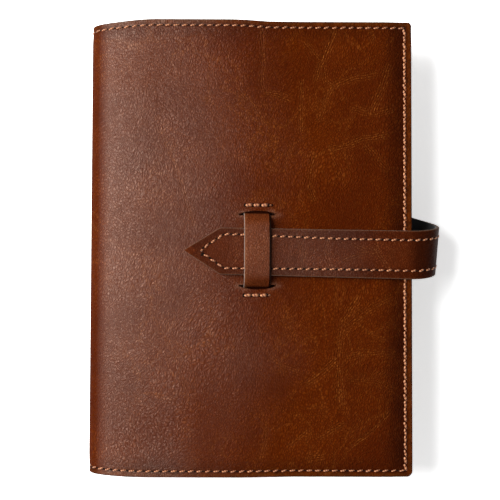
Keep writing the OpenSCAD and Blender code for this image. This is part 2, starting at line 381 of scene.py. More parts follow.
@dataclass(frozen=True)
class CoverSection:
    """The curve that the cover's layers follow, and points at a depth below it."""

    sizes: PlannerSizes

    def _bend(self, side: Side, angle: np.ndarray) -> tuple[np.ndarray, np.ndarray]:
        """Outer face and inward direction round one bend.

        Args:
            side: which cover's bend.
            angle: angles in radians, 0 on the spine's outermost line and a right angle at the flat.

        Returns:
            Points (s, z) and directions in which depth grows.
        """
        z = self.sizes
        width = z.front_round_w if side is Side.FRONT else z.back_round_w
        rise = z.front_rise if side is Side.FRONT else -z.spine_z
        turn = -1.0 if side is Side.FRONT else 1.0
        points = np.stack([width * (1 - np.cos(angle)), z.spine_z + rise * np.sin(angle)], -1)
        return points, np.stack([np.cos(angle), turn * np.sin(angle)], -1)

    def stations(
        self, side: Side, start: float, end: float, step: float, fine: Sequence[float] = ()
    ) -> Stations:
        """Lines across a cover, closer together where they are asked for.

        Args:
            side: which cover.
            start: first distance from the spine, 0 for the whole bend.
            end: last distance from the spine.
            step: usual distance between two lines.
            fine: distances from the spine at which a line is wanted.

        Returns:
            The stations in order.
        """
        z = self.sizes
        width = z.front_round_w if side is Side.FRONT else z.back_round_w
        parts, inward = [], []
        if start < width:
            table = np.linspace(0, math.pi / 2, 721)
            curve, _ = self._bend(side, table)
            arc = run_of(curve)
            count = max(2, round(arc[-1] / step))
            stops = np.concatenate([[0.0, 0.05], np.linspace(0, arc[-1], count + 1)[1:-1]])
            first = np.interp(start, curve[:, 0], arc) if start > 0 else -1.0
            stops = stops[stops > first - 1e-6]
            points, directions = self._bend(side, np.interp(stops, arc, table))
            parts.append(points)
            inward.append(directions)
        flat_start = max(start, width)
        even = np.linspace(flat_start, end, max(2, round((end - flat_start) / step) + 1))
        flat = with_marks(even, fine, step)
        height = z.front_face(flat) if side is Side.FRONT else np.zeros_like(flat)
        parts.append(np.stack([flat, height], -1))
        inward.append(np.tile([0.0, -1.0 if side is Side.FRONT else 1.0], (len(flat), 1)))
        base = np.concatenate(parts)
        return Stations(base, np.concatenate(inward), run_of(base))

    @staticmethod
    def across(half: float, step: float, fine: Sequence[float] = ()) -> np.ndarray:
        """Places along Y from -half to half, closer together where fine asks for a line."""
        return with_marks(np.linspace(-half, half, round(2 * half / step) + 1), fine, step)

    def place(self, lines: Stations, ys: np.ndarray, depth: np.ndarray | float) -> np.ndarray:
        """Points at a depth below the outer face.

        Args:
            lines: the stations, n of them.
            ys: places along Y, m of them.
            depth: one depth, or n by m depths.

        Returns:
            Points in millimetres, n by m by 3.
        """
        depth = np.broadcast_to(depth, (len(lines.run), len(ys)))
        points = np.empty((len(lines.run), len(ys), 3))
        points[..., 0] = self.sizes.spine_x + lines.base[:, :1] + depth * lines.inward[:, :1]
        points[..., 1] = ys[None, :]
        points[..., 2] = lines.base[:, 1:] + depth * lines.inward[:, 1:]
        return points


# ---- meshes


def in_scene(name: str, data: bpy.types.ID) -> Piece:
    """A new object in the scene, at the origin.

    Args:
        name: its name.
        data: its mesh, camera or lamp.

    Returns:
        The object.
    """
    item = bpy.data.objects.new(name, data)
    bpy.context.scene.collection.objects.link(item)
    return item


def make_object(name: str, points: np.ndarray, faces: np.ndarray | list, sharp: float = SHARP) -> Piece:
    """A smooth-shaded mesh object at the origin.

    Args:
        name: name of the piece.
        points: corners in millimetres, any shape that ends in 3.
        faces: corner numbers of each face.
        sharp: edges over this many degrees stay sharp.

    Returns:
        The object, in the scene.
    """
    mesh = bpy.data.meshes.new(name)
    mesh.from_pydata((points.reshape(-1, 3) * MM).tolist(), [], [list(map(int, f)) for f in faces])
    mesh.validate()
    mesh.shade_smooth()
    mesh.set_sharp_from_angle(angle=math.radians(sharp))
    return in_scene(name, mesh)


def closed_layer(name: str, outer: np.ndarray, inner: np.ndarray, sharp: float = SHARP) -> Piece:
    """A closed sheet between two grids of points, its faces outwards.

    Args:
        name: name of the piece.
        outer: n by m points of one face, in millimetres.
        inner: n by m points of the other face.
        sharp: edges over this many degrees stay sharp.

    Returns:
        The object; its corners are the outer ones, then the inner ones.
    """
    n, m = outer.shape[:2]
    index = np.arange(n * m).reshape(n, m)
    top = np.stack([index[:-1, :-1], index[1:, :-1], index[1:, 1:], index[:-1, 1:]], -1).reshape(-1, 4)
    loop = np.concatenate([index[:-1, 0], index[-1, :-1], index[:0:-1, -1], index[0, :0:-1]])
    following = np.roll(loop, -1)
    rim = np.stack([following, loop, loop + n * m, following + n * m], -1)
    faces = np.concatenate([top, top[:, ::-1] + n * m, rim])
    i, j = n // 2, m // 2
    normal = np.cross(outer[i + 1, j] - outer[i, j], outer[i, j + 1] - outer[i, j])
    if normal @ (outer[i, j] - inner[i, j]) < 0:
        faces = faces[:, ::-1]
    return make_object(name, np.stack([outer, inner]), faces, sharp)


def store_mask(piece: Piece, name: str, outer: np.ndarray, inner: np.ndarray | float = 0.0) -> None:
    """Stores one value per corner of a closed layer, for its material, which reads 0 without it.

    Args:
        piece: the layer.
        name: name of the attribute.
        outer: values on the outer grid.
        inner: values on the inner grid, or one value.
    """
    values = np.stack([outer, np.broadcast_to(inner, outer.shape)]).ravel().astype(np.float32)
    piece.data.attributes.new(name, "FLOAT", "POINT").data.foreach_set("value", values)


def dress(piece: Piece, finish: Material, slot: str, *nodes: str) -> Piece:
    """Gives a piece its material and hides the CAD nodes that it stands for.

    Args:
        piece: the piece.
        finish: its material.
        slot: not used.
        *nodes: CAD nodes that it stands for.

    Returns:
        The same piece.
    """
    piece.data.materials.clear()
    piece.data.materials.append(finish)
    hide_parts(*nodes)
    LOG.info("%s: %d faces", piece.name, len(piece.data.polygons))
    return piece


# ---- node graphs


@dataclass
class Graph:
    """Short words for building a node tree."""

    tree: Tree

    def add(self, kind: str, **settings: object) -> Node:
        """A new node with its settings.

        Args:
            kind: the node's type.
            **settings: properties of the node.

        Returns:
            The node.
        """
        node = self.tree.nodes.new(kind)
        for name, value in settings.items():
            setattr(node, name, value)
        return node

    def feed(self, node: Node, **inputs: object) -> Node:
        """Sets or links inputs by name or number, as in Scale=2 or _0=socket.

        Args:
            node: the node that is fed.
            **inputs: a value or an output socket for each input.

        Returns:
            The same node.
        """
        for name, value in inputs.items():
            socket = node.inputs[int(name[1:])] if name[0] == "_" else node.inputs[name.replace("_", " ")]
            if isinstance(value, Socket):
                self.tree.links.new(value, socket)
            else:
                socket.default_value = value
        return node

    def math(self, operation: str, *values: object) -> Socket:
        """The result of one arithmetic step on values or sockets."""
        node = self.add("ShaderNodeMath", operation=operation)
        return self.feed(node, **{f"_{i}": v for i, v in enumerate(values)}).outputs[0]

    def times(self, *values: object) -> Socket:
        """The product of values or sockets."""
        return reduce(lambda first, second: self.math("MULTIPLY", first, second), values)

    def plus(self, *values: object) -> Socket:
        """The sum of values or sockets."""
        return reduce(lambda first, second: self.math("ADD", first, second), values)

    def minus(self, first: object, second: object) -> Socket:
        """The first value or socket less the second."""
        return self.math("SUBTRACT", first, second)

    def vector(self, operation: str, *values: object) -> Socket:
        """The result of one step of vector arithmetic."""
        node = self.add("ShaderNodeVectorMath", operation=operation)
        return self.feed(node, **{f"_{i}": v for i, v in enumerate(values)}).outputs[0]

    def scaled(self, vector: object, factor: object) -> Socket:
        """A vector times a number."""
        node = self.add("ShaderNodeVectorMath", operation="SCALE")
        return self.feed(node, _0=vector, _3=factor).outputs[0]

    def clouds(self, vector: object, scale: float, detail: float, rough: float) -> Sockets:
        """The outputs of a noise texture on a vector."""
        node = self.add("ShaderNodeTexNoise")
        return self.feed(node, Vector=vector, Scale=scale, Detail=detail, Roughness=rough).outputs

    def noise(self, vector: object, scale: float, detail: float = 2.0, rough: float = 0.5) -> Socket:
        """An uneven value between 0 and 1."""
        return self.clouds(vector, scale, detail, rough)["Fac"]

    def drift(self, vector: object, scale: float, detail: float) -> Socket:
        """An uneven vector around zero."""
        return self.vector("SUBTRACT", self.clouds(vector, scale, detail, 0.5)["Color"], (0.5, 0.5, 0.5))

    def ramp(
        self, value: object, low: float, high: float, to_low: float = 0.0, to_high: float = 1.0
    ) -> Socket:
        """A value mapped smoothly from one range to another."""
        node = self.add("ShaderNodeMapRange", interpolation_type="SMOOTHSTEP")
        return self.feed(node, _0=value, _1=low, _2=high, _3=to_low, _4=to_high).outputs[0]

    def mix(self, factor: object, first: object, second: object) -> Socket:
        """A colour between two colours.

        Args:
            factor: 0 for the first colour, 1 for the second.
            first: a colour or a socket.
            second: a colour or a socket.

        Returns:
            The socket of the result.
        """
        node = self.add("ShaderNodeMix", data_type="RGBA")
        paint = [(*c, 1.0) if isinstance(c, tuple) else c for c in (first, second)]
        return self.feed(node, _0=factor, _6=paint[0], _7=paint[1]).outputs[2]

    def attribute(self, name: str) -> Socket:
        """A stored mask of the piece."""
        return self.add("ShaderNodeAttribute", attribute_name=name).outputs["Fac"]

    def group(self, tree: Tree, **inputs: object) -> Node:
        """A node group with its inputs fed."""
        node = self.add(self.tree.bl_idname.replace("Tree", "Group"), node_tree=tree)
        return self.feed(node, **inputs)


def add_socket(tree: Tree, label: str, kind: str, way: str = "INPUT") -> bpy.types.NodeTreeInterfaceSocket:
    """Gives a node group one more input or output."""
    return tree.interface.new_socket(label, in_out=way, socket_type=f"NodeSocket{kind}")


def new_group(name: str, inputs: dict[str, object], outputs: dict[str, str]) -> tuple[Graph, Sockets, Node]:
    """A shader node group with named inputs and outputs.

    Args:
        name: name of the group.
        inputs: default of each input; a number, a colour of 3 numbers, or None for a vector.
        outputs: kind of each output, Float or Color.

    Returns:
        The graph, its input sockets and its output node.
    """
    tree = bpy.data.node_groups.new(name, "ShaderNodeTree")
    for label, default in inputs.items():
        kind = "Vector" if default is None else "Color" if isinstance(default, tuple) else "Float"
        socket = add_socket(tree, label, kind)
        if default is not None:
            socket.default_value = (*default, 1.0) if isinstance(default, tuple) else default
    for label, kind in outputs.items():
        add_socket(tree, label, kind, "OUTPUT")
    graph = Graph(tree)
    return graph, graph.add("NodeGroupInput").outputs, graph.add("NodeGroupOutput")


class SharedEffects:
    """Shader node groups that several finishes use, each built once."""

    def __init__(self) -> None:
        """Builds the groups."""
        self.grain = self._grain()
        self.pull_up = self._pull_up()
        self.weave = self._weave()
        self.wear = self._wear()

    @staticmethod
    def _grain() -> Tree:
        """Fine wrinkles and long folds of tanned leather, which lie in a slowly changing direction.

        Returns:
            The group.
        """
        g, given, out = new_group(
            "leather grain",
            {
                "Vector": None, "Cell": 1.0, "Lie": 0.4, "Swirl": 26.0,
                "Folds": 0.6, "Crease": 0.0, "Side": 0.0,
            },
            {"Height": "Float", "Wrinkle": "Float", "Fold": "Float"},
        )
        where = given["Vector"]
        swept = g.vector("ADD", where, g.scaled(g.drift(where, 0.02, 1.0), given["Swirl"]))
        bent = g.vector("ADD", swept, g.scaled(g.drift(where, 0.5, 2.0), 1.3))
        turned = g.add("ShaderNodeVectorRotate", rotation_type="Z_AXIS")
        bent = g.feed(turned, Vector=bent, Angle=0.5).outputs[0]
        stretch = g.feed(g.add("ShaderNodeCombineXYZ"), _0=1.0, _1=given["Lie"], _2=1.0)
        laid = g.vector("MULTIPLY", bent, stretch.outputs[0])
        cells = g.add("ShaderNodeTexVoronoi", feature="DISTANCE_TO_EDGE")
        g.feed(cells, Vector=laid, Scale=g.math("DIVIDE", 1.0, given["Cell"]))
        wrinkle = g.ramp(cells.outputs["Distance"], 0.02, 0.24)
        strand = g.noise(laid, 1.3, 3.0, 0.6)
        pores = g.noise(where, 2.4, 2.0, 0.6)
        broad = g.noise(laid, 0.3, 2.0, 0.5)
        lines = []
        for scale, width, away in ((0.03, 0.022, 0.0), (0.05, 0.030, 37.0)):
            shifted = g.vector("ADD", swept, (away, away, away))
            ridge = g.minus(g.noise(shifted, scale, 3.0, 0.45), 0.5)
            lines.append(g.ramp(g.math("ABSOLUTE", ridge), width, 0.0))
        here = g.ramp(g.noise(where, 0.028, 2.0), 0.44, 0.60)
        folds = g.times(g.math("MAXIMUM", *lines), here, given["Folds"])
        loose = g.times(g.noise(where, 0.22, 3.0, 0.6), 9.0)
        across = g.plus(g.times(given["Side"], 5.6), loose)
        hairs = g.ramp(g.math("SINE", across), 0.0, 0.9, 0.1, 1.0)
        folds = g.math("MAXIMUM", folds, g.times(given["Crease"], hairs))
        fold = g.times(folds, g.ramp(strand, 0.32, 0.50, 0.45, 1.0))
        parts = ((wrinkle, 0.42), (strand, 0.66), (pores, 0.22), (broad, 0.7), (fold, -0.55))
        height = g.plus(*(g.times(part, share) for part, share in parts))
        valley = g.times(wrinkle, g.ramp(strand, 0.38, 0.50, 0.2, 1.0))
        g.feed(out, Height=height, Wrinkle=valley, Fold=fold)
        return g.tree

    @staticmethod
    def _pull_up() -> Tree:
        """Waxed colour that lightens where the leather has been stretched or creased, and goes near black
        under a mask of burnish and painted shade.

        Returns:
            The group.
        """
        colours = dict.fromkeys(("Base", "Deep", "Tan"), (0.1, 0.03, 0.01))
        g, given, out = new_group(
            "pull-up colour",
            {"Vector": None, **colours, "Wrinkle": 1.0, "Fold": 0.0, "Burnish": 0.0},
            {"Color": "Color", "Shine": "Float"},
        )
        where, fold = given["Vector"], given["Fold"]
        cloud = g.ramp(g.noise(where, 0.03, 4.0, 0.62), 0.3, 0.66)
        flecks = g.ramp(g.noise(where, 0.7, 4.0, 0.7), 0.36, 0.72)
        fibres = g.ramp(g.noise(where, 1.5, 2.0, 0.7), 0.4, 0.62)
        colour = g.mix(cloud, given["Deep"], given["Base"])
        colour = g.mix(g.times(flecks, 0.22), colour, given["Tan"])
        colour = g.mix(g.times(fibres, 0.32), colour, given["Deep"])
        colour = g.mix(fold, colour, given["Tan"])
        # darker in the grain's hollows: partly the grain's own colour, partly painted shade
        hollow = g.times(g.minus(1.0, given["Wrinkle"]), 0.78)
        colour = g.mix(hollow, colour, given["Deep"])
        # near black: burnish, and painted shade in grooves, slits and where the leather turns away from the
        # light
        colour = g.mix(given["Burnish"], colour, (0.015, 0.0026, 0.0010))
        shine = g.plus(g.times(cloud, 0.05), g.times(fold, 0.06))
        g.feed(out, Color=colour, Shine=shine)
        return g.tree

    @staticmethod
    def _weave() -> Tree:
        """Plain weave, as a height and a shade.

        Returns:
            The group.
        """
        inputs = {"Vector": None, "Pitch": 0.5}
        g, given, out = new_group("plain weave", inputs, {"Height": "Float", "Shade": "Float"})
        where = given["Vector"]
        axes = g.add("ShaderNodeSeparateXYZ")
        g.feed(axes, _0=g.vector("ADD", where, g.scaled(g.drift(where, 1.5, 2.0), 0.12)))
        turn = g.math("DIVIDE", math.pi, given["Pitch"])
        warp = g.math("SINE", g.times(axes.outputs[0], turn))
        weft = g.math("SINE", g.times(axes.outputs[1], turn))
        height = g.times(warp, weft)
        uneven = g.noise(where, 0.25, 3.0)
        g.feed(out, Height=height, Shade=g.plus(g.times(height, 0.22), uneven))
        return g.tree

    @staticmethod
    def _wear() -> Tree:
        """A stored edge mask broken up as handling breaks it up; on the front cover it also holds a painted
        highlight on the slits' raised lips.

        Returns:
            The group.
        """
        inputs = {"Vector": None, "Edge": 0.0, "Patch": 4.0}
        g, given, out = new_group("handled edge and lip highlight", inputs, {"Mask": "Float"})
        spots = g.noise(given["Vector"], g.math("DIVIDE", 1.0, given["Patch"]), 4.0, 0.65)
        g.feed(out, Mask=g.times(given["Edge"], g.ramp(spots, 0.3, 0.6, 0.35, 1.0)))
        return g.tree


# ---- finishes


class Paint(Graph):
    """The node tree of a new material, with its shader and Object coordinates in millimetres."""

    def __init__(self, name: str) -> None:
        """Starts the material.

        Args:
            name: name of the material.
        """
        self.material = bpy.data.materials.new(name)
        self.material.use_nodes = True
        super().__init__(self.material.node_tree)
        self.shader = self.tree.nodes["Principled BSDF"]
        self.place = self.scaled(self.add("ShaderNodeTexCoord").outputs["Object"], 1000.0)


class Finish:
    """Base of the finishes."""

    name: str

    def start(self) -> tuple[Paint, Node, Socket]:
        """A new material: its graph, its shader and its place in millimetres."""
        paint = Paint(self.name)
        return paint, paint.shader, paint.place

    @staticmethod
    def bump(
        graph: Graph, height: object, distance: float, strength: float, under: object = None
    ) -> Socket:
        """A normal from a height, with distance in millimetres.

        Args:
            graph: graph of the material.
            height: the height, 0 to 1.
            distance: what a height of 1 stands for.
            strength: share of the effect.
            under: a normal that this one is laid on.

        Returns:
            The socket of the result.
        """
        node = graph.add("ShaderNodeBump")
        graph.feed(node, Strength=strength, Distance=distance * MM, Height=height)
        if under is not None:
            graph.feed(node, Normal=under)
        return node.outputs["Normal"]


@dataclass(frozen=True)
class LeatherFinish(Finish):
    """Waxed pull-up leather, with its cut edges, burnish, and painted shade in its grooves and hollows."""

    name: str
    base: Rgb
    deep: Rgb
    tan: Rgb
    cut: Rgb
    roughness: float = 0.5
    specular: float = 0.5
    tint: Rgb = (1.0, 0.78, 0.64)
    cell: float = 0.95
    lie: float = 0.5
    relief: float = 0.47
    strength: float = 1.0
    veins: float = 0.3
    cut_rough: float = 0.25
    hollow_shine: float = 0.7

    def build(self, effects: SharedEffects) -> Material:
        """The material.

        Args:
            effects: the shared node groups.

        Returns:
            The finished material.
        """
        g, shader, place = self.start()
        grain = g.group(
            effects.grain, Vector=place, Cell=self.cell, Lie=self.lie, Folds=self.veins,
            Crease=g.attribute("crease"), Side=g.attribute("crease_side"),
        ).outputs
        # the burnish mask also carries painted shade, which the colour group turns near black
        skin = g.group(
            effects.pull_up, Vector=place, Base=(*self.base, 1.0), Deep=(*self.deep, 1.0),
            Tan=(*self.tan, 1.0), Wrinkle=grain["Wrinkle"], Fold=grain["Fold"],
            Burnish=g.attribute("burnish"),
        )
        # lighter towards the tan on worn edges and, on the front, as a painted highlight on the slits' lips
        edge = g.group(effects.wear, Vector=place, Edge=g.attribute("edge"), Patch=3.0)
        colour = g.mix(edge.outputs["Mask"], skin.outputs["Color"], self.tan)
        colour = g.mix(g.attribute("cut"), colour, self.cut)
        rough = g.minus(self.roughness, skin.outputs["Shine"])
        rough = g.plus(rough, g.times(g.attribute("cut"), self.cut_rough))
        level = g.times(g.minus(1.0, g.attribute("dull")), self.specular)
        level = g.times(level, g.ramp(grain["Wrinkle"], 0.0, 1.0, self.hollow_shine, 1.0))
        g.feed(shader, Base_Color=colour, Roughness=rough)
        g.feed(shader, Specular_IOR_Level=level, Specular_Tint=(*self.tint, 1.0))
        broad = self.bump(g, g.attribute("bulge"), 1.0, 1.0)
        g.feed(shader, Normal=self.bump(g, grain["Height"], self.relief, self.strength, broad))
        return g.material


@dataclass(frozen=True)
class ClothFinish(Finish):
    """Woven cloth of the linings and the spine tape."""

    name: str
    colour: Rgb
    light: Rgb
    pitch: float = 0.5
    sheen: float = 0.25

    def build(self, effects: SharedEffects) -> Material:
        """The material, from the shared weave.

        Args:
            effects: the shared node groups.

        Returns:
            The finished material.
        """
        g, shader, place = self.start()
        cloth = g.group(effects.weave, Vector=place, Pitch=self.pitch)
        colour = g.mix(g.ramp(cloth.outputs["Shade"], 0.2, 0.9), self.colour, self.light)
        g.feed(shader, Base_Color=colour, Roughness=0.85, Specular_IOR_Level=0.3, Sheen_Weight=self.sheen)
        g.feed(shader, Normal=self.bump(g, cloth.outputs["Height"], 0.08, 0.6))
        return g.material


@dataclass(frozen=True)
class ThreadFinish(Finish):
    """Waxed thread of two plies, twisted along each stitch."""

    name: str
    colour: Rgb
    shade: Rgb

    def build(self, effects: SharedEffects) -> Material:
        """The material, with the twist from the stored ply phase.

        Args:
            effects: not used.

        Returns:
            The finished material.
        """
        g, shader, place = self.start()
        phase = g.times(g.attribute("ply"), 2 * math.pi)
        ply = g.ramp(g.math("SINE", phase), -1.0, 0.6)
        uneven = g.ramp(g.noise(place, 0.4, 3.0), 0.3, 0.7)
        # the grooves between the plies are painted with shade, and the crowns keep the thread's colour
        colour = g.mix(ply, self.shade, self.colour)
        colour = g.mix(g.times(uneven, 0.35), colour, self.shade)
        g.feed(shader, Base_Color=colour, Roughness=0.42, Specular_IOR_Level=0.5, Sheen_Weight=0.2)
        g.feed(shader, Normal=self.bump(g, ply, 0.09, 0.8))
        return g.material


@dataclass(frozen=True)
class HoleFinish(Finish):
    """Near-black painted shade that stands for the dark bottom of a needle hole or a slit."""

    name: str
    # near black: painted shade inside the hole
    colour: Rgb = (0.006, 0.003, 0.002)

    def build(self, effects: SharedEffects) -> Material:
        """The material.

        Args:
            effects: not used.

        Returns:
            The finished material.
        """
        g, shader, place = self.start()
        speck = g.noise(place, 3.0, 2.0)
        colour = g.mix(speck, self.colour, tuple(c * 2.2 for c in self.colour))
        g.feed(shader, Base_Color=colour, Roughness=0.9, Specular_IOR_Level=0.1)
        return g.material


@dataclass(frozen=True)
class CardFinish(Finish):
    """Uncoated card with short fibres."""

    name: str
    colour: Rgb
    fibre: Rgb

    def build(self, effects: SharedEffects) -> Material:
        """The material.

        Args:
            effects: not used.

        Returns:
            The finished material.
        """
        g, shader, place = self.start()
        fibres = g.noise(g.vector("MULTIPLY", place, (0.5, 1.8, 1.0)), 1.6, 4.0, 0.7)
        cloud = g.ramp(g.noise(place, 0.05, 4.0, 0.6), 0.3, 0.7)
        colour = g.mix(g.ramp(fibres, 0.42, 0.68), self.colour, self.fibre)
        colour = g.mix(g.times(cloud, 0.3), colour, self.fibre)
        g.feed(shader, Base_Color=colour, Roughness=0.8, Specular_IOR_Level=0.3)
        g.feed(shader, Normal=self.bump(g, fibres, 0.03, 0.5))
        return g.material


@dataclass(frozen=True)
class PageFinish(Finish):
    """Paper: a printed layout on the first page, and the lines of the leaves on the edges."""

    name: str
    paper: Rgb = (0.80, 0.77, 0.69)
    ink: Rgb = (0.36, 0.35, 0.34)
    rule_pitch: float = 6.0
    margin: float = 14.0
    outer_margin: float = 7.0
    end_margin: float = 11.0
    head_line: float = 18.0
    column_w: float = 16.0

    def build(self, effects: SharedEffects, left: float, right: float, top: float) -> Material:
        """The material.

        Args:
            effects: not used.
            left: X of the block's spine edge, in millimetres.
            right: X of its fore-edge.
            top: half its length.

        Returns:
            The finished material.
        """
        g, shader, place = self.start()
        x, y, _ = g.feed(g.add("ShaderNodeSeparateXYZ"), _0=place).outputs
        leaves = g.noise(g.vector("MULTIPLY", place, (0.02, 0.02, 7.0)), 1.0, 3.0, 0.7)
        faces = g.add("ShaderNodeSeparateXYZ")
        g.feed(faces, _0=g.add("ShaderNodeNewGeometry").outputs["Normal"])
        up = g.math("GREATER_THAN", faces.outputs[2], 0.8)
        rules = g.math("LESS_THAN", g.math("PINGPONG", y, self.rule_pitch / 2), 0.09)
        inside = g.times(
            g.math("GREATER_THAN", x, left + self.margin),
            g.math("LESS_THAN", x, right - self.outer_margin),
            g.math("LESS_THAN", g.math("ABSOLUTE", y), top - self.end_margin),
        )
        head = g.math("ABSOLUTE", g.minus(y, top - self.head_line))
        column = g.math("ABSOLUTE", g.minus(x, left + self.margin + self.column_w))
        drawn = g.math("MAXIMUM", rules, g.math("LESS_THAN", column, 0.12))
        drawn = g.math("MAXIMUM", drawn, g.math("LESS_THAN", head, 0.25))
        ink = g.times(drawn, inside, up, 0.75)
        shade = tuple(c * 0.62 for c in self.paper)
        colour = g.mix(g.times(g.ramp(leaves, 0.35, 0.6), 0.4), self.paper, shade)
        flat = g.mix(up, colour, self.paper)
        g.feed(shader, Base_Color=g.mix(ink, flat, self.ink), Roughness=0.75, Specular_IOR_Level=0.3)
        side_height = g.times(leaves, g.minus(1.0, up))
        g.feed(shader, Normal=self.bump(g, side_height, 0.12, 0.7))
        return g.material


@dataclass(frozen=True)
class Wardrobe:
    """Every finished material of the planner."""

    cover: Material
    strap: Material
    keeper: Material
    sleeve: Material
    lining: Material
    thread: Material
    hole: Material
    card: Material
    tape: Material

    @classmethod
    def make(cls, fx: SharedEffects) -> Wardrobe:
        """Builds each finish once.

        Args:
            fx: the shared node groups.

        Returns:
            The materials.
        """
        finishes = {
            "cover": LeatherFinish(
                "cover_leather", base=(0.152, 0.0245, 0.0010), deep=(0.080, 0.0095, 0.0003),
                tan=(0.30, 0.082, 0.012), cut=(0.022, 0.006, 0.003), specular=1.0, roughness=0.47,
            ),
            "strap": LeatherFinish(
                "strap_leather", base=(0.156, 0.0275, 0.0048), deep=(0.066, 0.0095, 0.0015),
                tan=(0.22, 0.068, 0.020), cut=(0.17, 0.115, 0.085),
                cell=0.9, lie=0.6, relief=0.4, veins=0.15,
            ),
            "keeper": LeatherFinish(
                "keeper_leather", base=(0.245, 0.059, 0.0155), deep=(0.120, 0.022, 0.005),
                tan=(0.33, 0.120, 0.045), cut=(0.30, 0.25, 0.22),
                cell=0.9, lie=0.6, relief=0.5, veins=0.15,
            ),
            "sleeve": LeatherFinish(
                "sleeve_leather", base=(0.150, 0.052, 0.018), deep=(0.095, 0.028, 0.009),
                tan=(0.26, 0.11, 0.05), cut=(0.13, 0.06, 0.035),
                roughness=0.62, cell=0.7, lie=0.9, relief=0.09, strength=0.5, veins=0.1,
            ),
            "lining": ClothFinish("lining_cloth", (0.010, 0.010, 0.012), (0.032, 0.031, 0.033)),
            "thread": ThreadFinish("waxed_thread", (0.80, 0.34, 0.145), (0.20, 0.045, 0.011)),
            "hole": HoleFinish("needle_hole_shade"),
            "card": CardFinish("card_cover", (0.50, 0.37, 0.23), (0.36, 0.25, 0.14)),
            "tape": ClothFinish("spine_tape_cloth", (0.06, 0.05, 0.045), (0.13, 0.11, 0.10), pitch=0.6),
        }
        return cls(**{part: finish.build(fx) for part, finish in finishes.items()})


# ---- sewing


@dataclass(frozen=True)
class StitchSizes:
    """One kind of stitch, in millimetres and degrees."""

    pitch: float = 4.0
    length: float = 3.5
    width: float = 0.85
    arch: float = 0.34
    slant: float = 9.0
    uneven: float = 4.0
    aside: float = 0.0
    seed: int = 3


@dataclass(frozen=True)
class SewingLine:
    """A line of sewing: points on the surface and the directions that point out of it."""

    points: np.ndarray
    normals: np.ndarray


